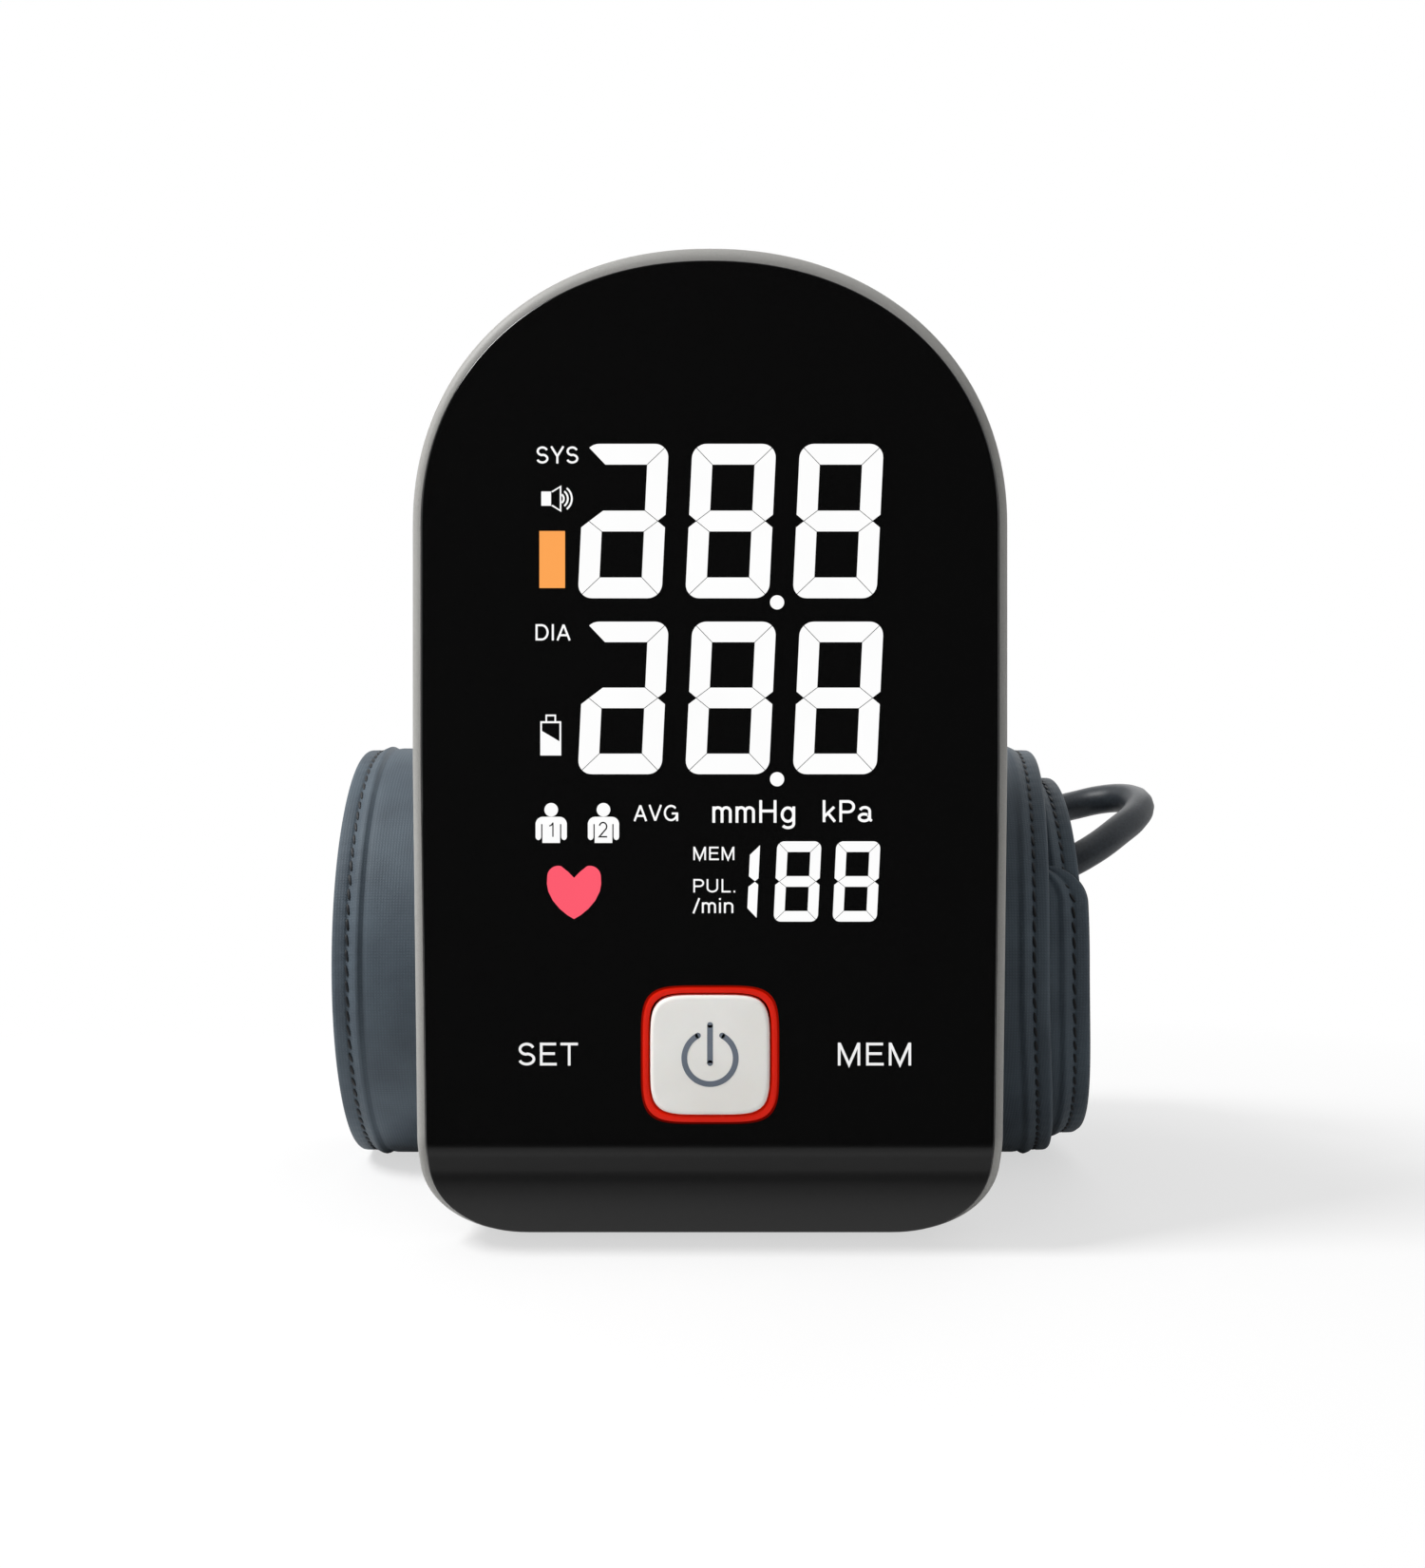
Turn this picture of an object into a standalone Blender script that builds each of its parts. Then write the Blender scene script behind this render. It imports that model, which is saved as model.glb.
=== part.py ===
"""Upper arm blood pressure monitor standing on its base, with its rolled cuff behind it.

Metres, +Z up, the display faces -Y. The origin is the middle of the underside of the rubber
pad that the monitor stands on. The cuff's roll lies along X on the same surface.
"""
import math

import bmesh
import bpy
from mathutils import Vector

MM = 0.001
CLEARANCE = 0.3 * MM  # between two pieces that meet
CUT_PAST = 2.0 * MM  # how far a cutter runs past the face that it opens

# The monitor's outline as seen from the front
BODY_HALF_WIDTH = 48.0 * MM
ARCH_CENTRE_Z = 118.5 * MM
ARCH_HEIGHT = 44.8 * MM
ARCH_POWER = 2.12
SIDE_TAPER = 0.8 * MM
TAPER_FROM_Z = 80.0 * MM
CORNER_WIDTH = 17.0 * MM
CORNER_HEIGHT = 14.0 * MM
CORNER_POWER = 2.2
PAD_PROUD = 0.5 * MM  # the rubber pad lifts the casing by this much
CORNER_STEPS = 6
ARCH_STEPS = 14

# The monitor's depth, measured back from its front face
FRONT_Y = -31.0 * MM
BODY_DEPTH = 50.0 * MM
SLOPE_START_Z = 17.8 * MM  # below this height the front leans back
SLOPE_BACK = 13.0 * MM
CREASE_ROUND = 1.6 * MM
PANEL_THICK = 3.0 * MM
PANEL_BEVEL = 0.7 * MM
RIM_BEHIND_FACE = 2.2 * MM
PANEL_SIDE = 1.7 * MM  # how much smaller the panel is than the casing at its sides,
PANEL_TOP = 2.6 * MM  # at its top
PANEL_BOTTOM = 0.8 * MM  # and at its bottom
LEDGE_WIDTH = 4.5 * MM
LEDGE_THICK = 2.0 * MM
RIM_WALL = 1.7 * MM
SEAM_DEPTH = 13.0 * MM
SEAM_LEAN = 0.6  # the seam's share of the face's lean
REAR_WALL = 2.0 * MM

# Power button
BUTTON_Z = 32.9 * MM
BUTTON_HALF = 9.65 * MM
BUTTON_POWER = 5.0
BUTTON_PROUD = 0.5 * MM
BUTTON_TRAVEL = 0.6 * MM
BUTTON_THICK = 2.4 * MM
RING_WALL = 0.9 * MM
RING_PROUD = 0.2 * MM
RING_DEPTH = 6.0 * MM
RING_FLANGE = 1.4 * MM
SWITCH_SIZE = 6.0 * MM
PLUNGER_RADIUS = 1.7 * MM

# Display and boards, behind the panel
DISPLAY_HALF_WIDTH = 31.0 * MM
DISPLAY_BOTTOM_Z = 52.0 * MM
DISPLAY_TOP_Z = 134.0 * MM
GUIDE_THICK = 5.0 * MM
GUIDE_WALL = 1.5 * MM
BOARD_THICK = 1.4 * MM
MAIN_BOARD_HALF_WIDTH = 32.0 * MM
MAIN_BOARD_BOTTOM_Z = 22.0 * MM
TOUCH_X = 26.2 * MM
TOUCH_RADIUS = 3.0 * MM
TOUCH_WIRE = 0.35 * MM

# Batteries and their bay
CELL_RADIUS = 5.25 * MM
CELL_LENGTH = 43.3 * MM
CELL_NUB = 1.2 * MM
CELL_PITCH = 2 * CELL_RADIUS + 0.7 * MM
CELL_COUNT = 4
CONTACT_THICK = 0.6 * MM
SPRING_LENGTH = 3.4 * MM
SPRING_RADIUS = 3.2 * MM
SPRING_WIRE = 0.35 * MM
BAY_BOTTOM_Z = 86.4 * MM
BAY_WALL = 1.4 * MM
LID_THICK = 1.8 * MM
LID_LAP = 1.6 * MM
LID_SWING_ROOM = 0.7 * MM
HINGE_PIN_RADIUS = 0.7 * MM
HINGE_PIN_LENGTH = 1.2 * MM
HINGE_ABOVE_EDGE = 1.3 * MM

# Screws that close the casing
SCREW_HEAD_RADIUS = 2.7 * MM
SCREW_RADIUS = 1.3 * MM
SCREW_LENGTH = 11.0 * MM
BOSS_RADIUS = 4.1 * MM
POST_RADIUS = 3.2 * MM
BOSS_FRONT_DEPTH = 22.0 * MM
LOWER_SCREW_X, LOWER_SCREW_Z = BODY_HALF_WIDTH - 9.5 * MM, 50.0 * MM
UPPER_SCREW_X, UPPER_SCREW_Z = 20.0 * MM, 145.0 * MM

# Air pump, valve, sensor and socket
PUMP_Z = 64.0 * MM
PUMP_DEPTH = 30.0 * MM
PUMP_START_X = -27.0 * MM
MOTOR_RADIUS = 10.5 * MM
MOTOR_LENGTH = 25.0 * MM
HEAD_RADIUS = 12.0 * MM
HEAD_LENGTH = 16.0 * MM
HEAD_WALL = 2.0 * MM
SHAFT_RADIUS = 1.0 * MM
CAM_RADIUS = 4.5 * MM
CAM_OFFSET = 1.5 * MM
PUMP_SADDLE = 3.0 * MM
VALVE_X, VALVE_Z = 20.0 * MM, 36.0 * MM
VALVE_SIZE = 13.0 * MM
VALVE_LENGTH = 15.0 * MM
VALVE_TRAVEL = 0.8 * MM
SENSOR_X = -25.0 * MM
SENSOR_SIZE = 11.0 * MM
AIR_TUBE_RADIUS = 2.0 * MM
NIPPLE_RADIUS = 1.4 * MM
PORT_Z = 40.0 * MM
PORT_DEPTH = 28.0 * MM
SOCKET_RADIUS = 4.8 * MM
SOCKET_BORE = 3.3 * MM
SOCKET_LENGTH = 12.0 * MM
SOCKET_FLANGE = 6.2 * MM
SOCKET_GRIP = 3.5 * MM  # how far inside the wall the flange sits
MANIFOLD_HALF = 5.0 * MM
NIPPLE_LENGTH = 4.0 * MM
SENSOR_THICK = 6.0 * MM
VALVE_BORE_DEPTH = 6.0 * MM
VALVE_PIN_RADIUS = 1.5 * MM
JACK_HALF_WIDTH = 4.6 * MM
JACK_HALF_HEIGHT = 1.7 * MM
JACK_LENGTH = 7.5 * MM
SPEAKER_RADIUS = 9.0 * MM
SPEAKER_X, SPEAKER_Z = 23.0 * MM, 66.0 * MM
SPEAKER_THICK = 4.5 * MM
SLOT_WIDTH = 1.2 * MM
SLOT_COUNT = 5
PAD_HALF_WIDTH = 27.0 * MM
PAD_HALF_DEPTH = 9.3 * MM
PAD_THICK = 1.1 * MM

# Cuff: a sewn strip wound almost two turns, with a closure flap between the turns
ROLL_RADIUS = 42.0 * MM
ROLL_GAP = 0.6 * MM  # between the monitor's back and the roll
STRIP_THICK = 3.2 * MM
OUTER_CLOTH = 1.1 * MM
INNER_CLOTH = 0.9 * MM
FLAP_THICK = 2.0 * MM
HOOK_THICK = 1.1 * MM
TURN_STEP = 7.5  # degrees between stations
TAIL_ANGLE = 150.0  # where the outer end lies: 0 is the front, 90 the top
DIVE_START, DIVE_END = 450.0, 502.5  # where the strip passes under its own tail
STRIP_END = 825.0
BLADDER_START, BLADDER_END = 405.0, 787.5
BLADDER_MARGIN = 12.0 * MM
FLAP_FROM, FLAP_TO = -150.0, 30.0
HOOK_FROM, HOOK_TO = 157.5, 202.5
HOOK_HALF_WIDTH = 58.0 * MM
# right and left edges of the strip along its winding angle: the roll leans a little sideways
RIGHT_EDGE = ((150, 66.0), (270, 69.5), (360, 64.0), (450, 66.8), (510, 70.5), (560, 71.5))
LEFT_EDGE = ((150, -71.5), (450, -71.5), (510, -66.0), (560, -64.5))
FLAP_RIGHT_EDGE = ((-150, 75.5), (-70, 75.0), (0, 72.2), (34, 72.4))
FLAP_LEFT_X = -64.0 * MM

# Hose: one tube from the cuff's port, out past the roll's right end and back into a hank
HOSE_RADIUS = 3.0 * MM
HOSE_PORT_X = 46.0 * MM
HOSE_PORT_FLANGE = 7.0 * MM
HANK_LEFT_X, HANK_RIGHT_X = -50.0 * MM, 50.0 * MM
HANK_HALF_WIDTH = 21.0 * MM
HANK_HEIGHT = 12.4 * MM
TIE_THICK = 0.8 * MM
TIE_HALF_WIDTH = 5.0 * MM
PLUG_RADIUS = 5.0 * MM
PLUG_LENGTH = 22.0 * MM
HOSE_POINT_SPACING = 7.0 * MM
# the hose's bend outside the roll: x, then how far behind and above its start it passes
HOSE_BEND = (
    (56.0, 0.0, 0.0), (64.0, 0.6, 0.0), (71.0, 2.6, 0.6), (77.0, 4.2, 1.9), (82.6, 2.9, 3.2),
    (86.8, -1.4, 3.5), (88.2, -7.4, 2.5), (86.4, -13.4, 0.2), (81.6, -18.4, -3.0),
    (75.6, -21.4, -6.8), (69.0, -22.8, -10.0), (58.0, -23.6, -13.4),
)
# its way down to the hank: x, then its shares of the depth and the drop that are left
HOSE_FALL = ((40.0, -0.11, 0.22), (22.0, -0.07, 0.49), (8.0, 0.25, 0.73), (-6.0, 0.71, 0.90),
             (-24.0, 1.0, 1.0))

# Worked out from the sizes above
BASE_Z = PAD_PROUD
BACK_Y = FRONT_Y + BODY_DEPTH
CUFF_Y = BACK_Y + ROLL_GAP + ROLL_RADIUS
CUFF_Z = ROLL_RADIUS
INNER_TURN_RADIUS = ROLL_RADIUS - STRIP_THICK - 2 * CLEARANCE - FLAP_THICK
HOLLOW_RADIUS = INNER_TURN_RADIUS - STRIP_THICK
GUIDE_DEPTH = PANEL_THICK + CLEARANCE
LED_BOARD_DEPTH = GUIDE_DEPTH + GUIDE_THICK + CLEARANCE
MAIN_BOARD_DEPTH = LED_BOARD_DEPTH + BOARD_THICK + CLEARANCE
MAIN_BOARD_BACK = MAIN_BOARD_DEPTH + BOARD_THICK
BAY_HALF_WIDTH = CELL_PITCH * (CELL_COUNT - 1) / 2 + CELL_RADIUS + CLEARANCE * 2
BAY_HEIGHT = CELL_LENGTH + CELL_NUB + SPRING_LENGTH + 2 * CONTACT_THICK + 4 * CLEARANCE
BAY_TOP_Z = BAY_BOTTOM_Z + BAY_HEIGHT
LID_HALF_WIDTH = BAY_HALF_WIDTH + LID_LAP
LID_BOTTOM_Z = BAY_BOTTOM_Z
LID_TOP_Z = BAY_TOP_Z + LID_LAP
LID_FRONT_Y = BACK_Y - LID_THICK
CELL_Y = LID_FRONT_Y - CLEARANCE * 2 - CELL_RADIUS
BAY_FLOOR_Y = CELL_Y - CELL_RADIUS - CLEARANCE
HINGE_Y = BACK_Y - LID_THICK / 2
HINGE_Z = LID_BOTTOM_Z + HINGE_ABOVE_EDGE

GLOSS_BLACK = ((0.006, 0.006, 0.006), 0.08, 0.0)
SATIN_SILVER = ((0.33, 0.33, 0.31), 0.35, 0.6)
DARK_ABS = ((0.02, 0.02, 0.022), 0.45, 0.0)
WHITE_ABS = ((0.78, 0.77, 0.74), 0.35, 0.0)
RED_LENS = ((0.72, 0.015, 0.0), 0.3, 0.0)
RUBBER = ((0.03, 0.03, 0.03), 0.8, 0.0)
STEEL = ((0.55, 0.55, 0.56), 0.3, 1.0)
BRASS = ((0.7, 0.5, 0.2), 0.35, 1.0)
GREEN_BOARD = ((0.01, 0.12, 0.05), 0.5, 0.0)
CLEAR_TUBE = ((0.6, 0.62, 0.62), 0.3, 0.0)
CELL_SKIN = ((0.05, 0.09, 0.2), 0.3, 0.0)
CUFF_CLOTH = ((0.065, 0.085, 0.105), 0.85, 0.0)
HOSE_RUBBER = ((0.035, 0.043, 0.055), 0.5, 0.0)


def finished(thing, finish, smooth_angle=35):
    """Give the object its own material and shade its round faces smooth."""
    colour, roughness, metallic = finish
    skin = bpy.data.materials.new(thing.name + "_finish")
    skin.use_nodes = True
    shader = skin.node_tree.nodes["Principled BSDF"]
    shader.inputs["Base Color"].default_value = (*colour, 1.0)
    shader.inputs["Roughness"].default_value = roughness
    shader.inputs["Metallic"].default_value = metallic
    thing.data.materials.append(skin)
    if thing.type == "MESH":
        thing.data.shade_smooth()
        thing.data.set_sharp_from_angle(angle=math.radians(smooth_angle))
    return thing


def solid(name, corners, faces, finish):
    """A mesh object from corners and faces, with its faces turned outwards."""
    mesh = bpy.data.meshes.new(name)
    mesh.from_pydata([tuple(c) for c in corners], [], faces)
    shape = bmesh.new()
    shape.from_mesh(mesh)
    bmesh.ops.recalc_face_normals(shape, faces=shape.faces)
    shape.to_mesh(mesh)
    shape.free()
    thing = bpy.data.objects.new(name, mesh)
    bpy.context.scene.collection.objects.link(thing)
    return finished(thing, finish)


def skin_between(rings, closed):
    """Faces that join each ring of corners to the next one."""
    count = len(rings[0])
    faces = []
    for k in range(len(rings) if closed else len(rings) - 1):
        a, b = k * count, (k + 1) % len(rings) * count
        for i in range(count):
            j = (i + 1) % count
            faces.append((a + i, a + j, b + j, b + i))
    return faces


def ladder_cap(first, count):
    """Faces that fill a ring made by outline(), in rungs from its right side to its left."""
    half = count // 2
    faces = [(first + half - 1, first + half, first + half + 1)]
    for i in range(half - 1):
        faces.append((first + i, first + i + 1, first + count - 2 - i, first + count - 1 - i))
    return faces


def loft(name, rings, finish, ends="ladder"):
    """A solid through rings of corners; its ends are ladders, plain faces, or joined."""
    count = len(rings[0])
    faces = skin_between(rings, ends == "joined")
    last = (len(rings) - 1) * count
    if ends == "ladder":
        faces += ladder_cap(0, count) + ladder_cap(last, count)
    elif ends == "plain":
        faces += [tuple(range(count)), tuple(range(last, last + count))]
    return solid(name, [c for ring in rings for c in ring], faces, finish)


def block(name, low, high, finish):
    """A rectangular solid between two corners."""
    (x0, y0, z0), (x1, y1, z1) = low, high
    rings = [[(x0, y, z0), (x1, y, z0), (x1, y, z1), (x0, y, z1)] for y in (y0, y1)]
    return loft(name, rings, finish, "plain")


def prism(name, shape, y0, y1, finish):
    """A solid with the (x, z) shape, from depth y0 to y1."""
    return loft(name, [[(x, y, z) for x, z in shape] for y in (y0, y1)], finish, "plain")


def turned(name, profile, start, along, finish, sides=20):
    """A turned solid: profile is (radius, distance) pairs along the axis from start."""
    along = Vector(along).normalized()
    across = along.orthogonal().normalized()
    upward = along.cross(across)
    corners, faces, rows = [], [], []
    for radius, distance in profile:
        centre = Vector(start) + along * distance
        count = sides if radius > 0 else 1
        rows.append((len(corners), count))
        for i in range(count):
            turn = 2 * math.pi * i / sides
            corners.append(centre + radius * (across * math.cos(turn) + upward * math.sin(turn)))
    pairs = list(zip(rows, rows[1:]))
    if profile[0][0] > 0:
        pairs.append((rows[-1], rows[0]))
    for (a, a_count), (b, b_count) in pairs:
        for i in range(sides):
            j = (i + 1) % sides
            if a_count == 1 and b_count == 1:
                continue
            if a_count == 1:
                faces.append((a, b + j, b + i))
            elif b_count == 1:
                faces.append((a + i, a + j, b))
            else:
                faces.append((a + i, a + j, b + j, b + i))
    return solid(name, corners, faces, finish)


def rod(name, start, end, radius, finish, sides=20):
    """A plain round bar between two points."""
    start, end = Vector(start), Vector(end)
    long = (end - start).length
    return turned(name, ((0, 0), (radius, 0), (radius, long), (0, long)), start, end - start,
                  finish, sides)


def combine(thing, tool, operation):
    """Cut the tool from the thing, or add it; the tool itself isn't part of the object."""
    tool.hide_render = True
    tool.display_type = "WIRE"
    step = thing.modifiers.new(tool.name, "BOOLEAN")
    step.operation = operation
    step.object = tool


def cut(thing, tool):
    combine(thing, tool, "DIFFERENCE")


def add(thing, tool):
    combine(thing, tool, "UNION")


def tube(name, points, radius, finish, resolution=2):
    """A round cord or wire along the points, with filled ends."""
    curve = bpy.data.curves.new(name, "CURVE")
    curve.dimensions = "3D"
    curve.bevel_depth = radius
    curve.bevel_resolution = resolution
    curve.use_fill_caps = True
    line = curve.splines.new("POLY")
    line.points.add(len(points) - 1)
    for place, point in zip(line.points, points):
        place.co = (*point, 1.0)
    thing = bpy.data.objects.new(name, curve)
    bpy.context.scene.collection.objects.link(thing)
    return finished(thing, finish)


def smooth_route(points, spacing):
    """Evenly spaced points on a smooth curve through the chosen points."""
    chosen = [Vector(p) for p in points]
    chosen = [2 * chosen[0] - chosen[1], *chosen, 2 * chosen[-1] - chosen[-2]]
    fine = []
    for a, b, c, d in zip(chosen, chosen[1:], chosen[2:], chosen[3:]):
        for k in range(24):
            t = k / 24
            fine.append(0.5 * (2 * b + (c - a) * t + (2 * a - 5 * b + 4 * c - d) * t ** 2
                               + (3 * b - a - 3 * c + d) * t ** 3))
    fine.append(chosen[-2])
    total = sum((q - p).length for p, q in zip(fine, fine[1:]))
    count = max(2, round(total / spacing))
    spaced, walked, target = [fine[0]], 0.0, total / count
    for p, q in zip(fine, fine[1:]):
        step = (q - p).length
        while step > 0 and walked + step >= target - 1e-9 and len(spaced) < count:
            spaced.append(p.lerp(q, (target - walked) / step))
            target += total / count
        walked += step
    return spaced + [fine[-1]]


def outline(side, top, bottom):
    """The casing's front-view outline (x, z), drawn in by these insets, anticlockwise."""
    corner_x = BODY_HALF_WIDTH - SIDE_TAPER - CORNER_WIDTH
    corner_z = BASE_Z + CORNER_HEIGHT
    right = []
    for i in range(CORNER_STEPS + 1):
        turn = math.pi / 2 * i / CORNER_STEPS
        across = math.sin(turn) ** (2 / CORNER_POWER)
        down = max(math.cos(turn), 0.0) ** (2 / CORNER_POWER)
        right.append((corner_x + (CORNER_WIDTH - side) * across,
                      corner_z - (CORNER_HEIGHT - bottom) * down))
    heights = [SLOPE_START_Z + CREASE_ROUND * k for k in (-1, 0, 1)]
    heights += [0.5 * (SLOPE_START_Z + TAPER_FROM_Z), TAPER_FROM_Z]
    for z in heights:
        if z > corner_z + CLEARANCE:
            right.append((side_x(z) - side, z))
    for i in range(ARCH_STEPS + 1):
        turn = math.pi / 2 * i / ARCH_STEPS
        across = max(math.cos(turn), 0.0) ** (2 / ARCH_POWER)
        if i == ARCH_STEPS:
            across = 0.0
        up = math.sin(turn) ** (2 / ARCH_POWER)
        right.append(((BODY_HALF_WIDTH - side) * across, ARCH_CENTRE_Z + (ARCH_HEIGHT - top) * up))
    return right + [(-x, z) for x, z in reversed(right[:-1])]


def side_x(z):
    """Half the casing's width at a height below the arch."""
    share = max(0.0, (TAPER_FROM_Z - z) / (TAPER_FROM_Z - BASE_Z - CORNER_HEIGHT))
    return BODY_HALF_WIDTH - SIDE_TAPER * min(share, 1.0)


def lean(z):
    """How far the front is set back at a height, where its lower part slopes."""
    slope = SLOPE_BACK / (SLOPE_START_Z - BASE_Z)
    below = SLOPE_START_Z - z
    if below <= -CREASE_ROUND:
        return 0.0
    if below < CREASE_ROUND:
        return slope * (below + CREASE_ROUND) ** 2 / (4 * CREASE_ROUND)
    return slope * below


def body_ring(side, top, bottom, depth, leans=1.0):
    """A ring round the casing's outline; leans is its share of the front's lean."""
    return [(x, FRONT_Y + depth + leans * lean(z), z) for x, z in outline(side, top, bottom)]


def squircle(half, power=BUTTON_POWER, centre_z=BUTTON_Z, steps=32):
    """A square with round corners and slightly bulging sides, as (x, z) pairs."""
    shape = []
    for i in range(steps):
        turn = 2 * math.pi * (i + 0.5) / steps
        across, up = math.cos(turn), math.sin(turn)
        reach = half / (abs(across) ** power + abs(up) ** power) ** (1 / power)
        shape.append((reach * across, centre_z + reach * up))
    return shape


def front_panel():
    edges = (PANEL_SIDE, PANEL_TOP, PANEL_BOTTOM)
    face = [inset + PANEL_BEVEL for inset in edges]
    rings = [body_ring(*edges, PANEL_THICK), body_ring(*edges, PANEL_BEVEL), body_ring(*face, 0.0)]
    panel = loft("front_panel", rings, GLOSS_BLACK)
    hole = squircle(BUTTON_HALF + RING_WALL + 2 * CLEARANCE)
    cut(panel, prism("panel_button_hole", hole, FRONT_Y - CUT_PAST,
                     FRONT_Y + PANEL_THICK + CUT_PAST, GLOSS_BLACK))


def front_housing():
    gap = CLEARANCE
    side, top, bottom = PANEL_SIDE - gap, PANEL_TOP - gap, PANEL_BOTTOM - gap
    ledge = (side + LEDGE_WIDTH, top + LEDGE_WIDTH, bottom + LEDGE_WIDTH)
    wall = (RIM_WALL, RIM_WALL, RIM_WALL)
    ledge_front = PANEL_THICK + gap
    ledge_back = ledge_front + LEDGE_THICK
    section = [
        (side, top, bottom, RIM_BEHIND_FACE + 0.2 * MM),
        (0.75 * side, 0.75 * top, 0.75 * bottom, RIM_BEHIND_FACE),
        (0.3 * side, 0.3 * top, 0.3 * bottom, RIM_BEHIND_FACE + 0.5 * MM),
        (0.05 * side, 0.05 * top, 0.05 * bottom, RIM_BEHIND_FACE + 1.4 * MM),
        (0.0, 0.0, 0.0, RIM_BEHIND_FACE + 3.0 * MM),
        (0.1 * MM, 0.1 * MM, 0.0, SEAM_DEPTH, SEAM_LEAN),
        (*wall, SEAM_DEPTH, SEAM_LEAN),
        (*wall, ledge_back),
        (*ledge, ledge_back),
        (*ledge, ledge_front),
        (side, top, bottom, ledge_front),
    ]
    housing = loft("front_housing", [body_ring(*row) for row in section], SATIN_SILVER, "joined")
    post_front, post_back = FRONT_Y + ledge_back - gap, FRONT_Y + BOSS_FRONT_DEPTH - gap
    arm_half, arm_back = 0.7 * POST_RADIUS, post_front + 3.0 * MM
    for k, (x, z) in enumerate(screw_places(), 1):
        add(housing, rod(f"screw_post_{k}", (x, post_front, z), (x, post_back, z), POST_RADIUS,
                         SATIN_SILVER))
        wall_at = math.copysign(side_x(z) - RIM_WALL - side, x)
        low = (min(x, wall_at), post_front, z - arm_half)
        high = (max(x, wall_at), arm_back, z + arm_half)
        if abs(z - UPPER_SCREW_Z) < CLEARANCE:
            low = (x - arm_half, post_front, z)
            high = (x + arm_half, arm_back, arch_z(x) - RIM_WALL / 2)
        arm = block(f"screw_arm_{k}", low, high, SATIN_SILVER)
        add(housing, arm)
        hole_start = post_back - SCREW_LENGTH
        cut(housing, rod(f"screw_post_hole_{k}", (x, hole_start, z), (x, post_back + CUT_PAST, z),
                         SCREW_RADIUS + CLEARANCE, SATIN_SILVER))


def arch_z(x):
    """The casing's height at a distance from its middle."""
    across = min(abs(x) / BODY_HALF_WIDTH, 1.0)
    return ARCH_CENTRE_Z + ARCH_HEIGHT * (1 - across ** ARCH_POWER) ** (1 / ARCH_POWER)


def screw_places():
    return [(sign * x, z) for x, z in ((LOWER_SCREW_X, LOWER_SCREW_Z), (UPPER_SCREW_X, UPPER_SCREW_Z))
            for sign in (-1, 1)]


def rear_rows():
    """Insets of the rear shell's outside (side, top, bottom), depth and lean, front to back."""
    return [
        (0.1 * MM, 0.1 * MM, 0.0, SEAM_DEPTH + CLEARANCE, SEAM_LEAN),
        (0.5 * MM, 0.5 * MM, 0.0, 0.56 * BODY_DEPTH, 0.0),
        (1.8 * MM, 1.8 * MM, 0.0, 0.76 * BODY_DEPTH, 0.0),
        (4.0 * MM, 4.0 * MM, 0.6 * MM, 0.90 * BODY_DEPTH, 0.0),
        (7.0 * MM, 7.0 * MM, 2.4 * MM, 0.975 * BODY_DEPTH, 0.0),
        (10.0 * MM, 10.0 * MM, 4.6 * MM, BODY_DEPTH, 0.0),
    ]


def rear_housing():
    outside = [body_ring(*row) for row in rear_rows()]
    inside = []
    for side, top, bottom, depth, leans in rear_rows():
        deep = min(depth, BODY_DEPTH - REAR_WALL)
        inside.append(body_ring(side + REAR_WALL, top + REAR_WALL, bottom + REAR_WALL, deep, leans))
    shell = loft("rear_housing", list(reversed(inside)) + outside, DARK_ABS)
    add_battery_bay(shell)
    add_screw_bosses(shell)
    add_pump_saddles(shell)
    cut_side_ports(shell)
    cut_speaker_slots(shell)
    room = CLEARANCE
    cut(shell, block("pad_recess", (-PAD_HALF_WIDTH - room, -PAD_HALF_DEPTH - room, -CUT_PAST),
                     (PAD_HALF_WIDTH + room, PAD_HALF_DEPTH + room, PAD_THICK + room), DARK_ABS))


def add_battery_bay(shell):
    """A box that opens to the back, with a ledge that the lid lies on and two hinge holes."""
    wall = BAY_WALL
    inside_back = BACK_Y - REAR_WALL / 2
    outer_x = LID_HALF_WIDTH + CLEARANCE + wall
    add(shell, block("bay_box", (-outer_x, BAY_FLOOR_Y - wall, LID_BOTTOM_Z - LID_SWING_ROOM - wall),
                     (outer_x, inside_back, LID_TOP_Z + CLEARANCE + wall), DARK_ABS))
    cut(shell, block("bay_space", (-BAY_HALF_WIDTH, BAY_FLOOR_Y, BAY_BOTTOM_Z),
                     (BAY_HALF_WIDTH, BACK_Y + CUT_PAST, BAY_TOP_Z), DARK_ABS))
    lid_x = LID_HALF_WIDTH + CLEARANCE
    cut(shell, block("lid_recess", (-lid_x, LID_FRONT_Y - CLEARANCE, LID_BOTTOM_Z - LID_SWING_ROOM),
                     (lid_x, BACK_Y + CUT_PAST, LID_TOP_Z + CLEARANCE), DARK_ABS))
    swing = 2 * HINGE_ABOVE_EDGE + LID_SWING_ROOM
    cut(shell, block("lid_swing_room", (-lid_x, LID_FRONT_Y - swing, LID_BOTTOM_Z - LID_SWING_ROOM),
                     (lid_x, BACK_Y + CUT_PAST, LID_BOTTOM_Z + swing), DARK_ABS))
    pin = HINGE_PIN_LENGTH + 2 * CLEARANCE
    cut(shell, rod("hinge_holes", (-lid_x - pin, HINGE_Y, HINGE_Z), (lid_x + pin, HINGE_Y, HINGE_Z),
                   HINGE_PIN_RADIUS + CLEARANCE, DARK_ABS, 12))
    cut(shell, rod("finger_notch", (0, BACK_Y + 3.2 * MM, LID_TOP_Z + 0.6 * MM),
                   (0, BACK_Y + 3.2 * MM, LID_TOP_Z + 2.6 * MM), 6.0 * MM, DARK_ABS, 24))


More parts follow.
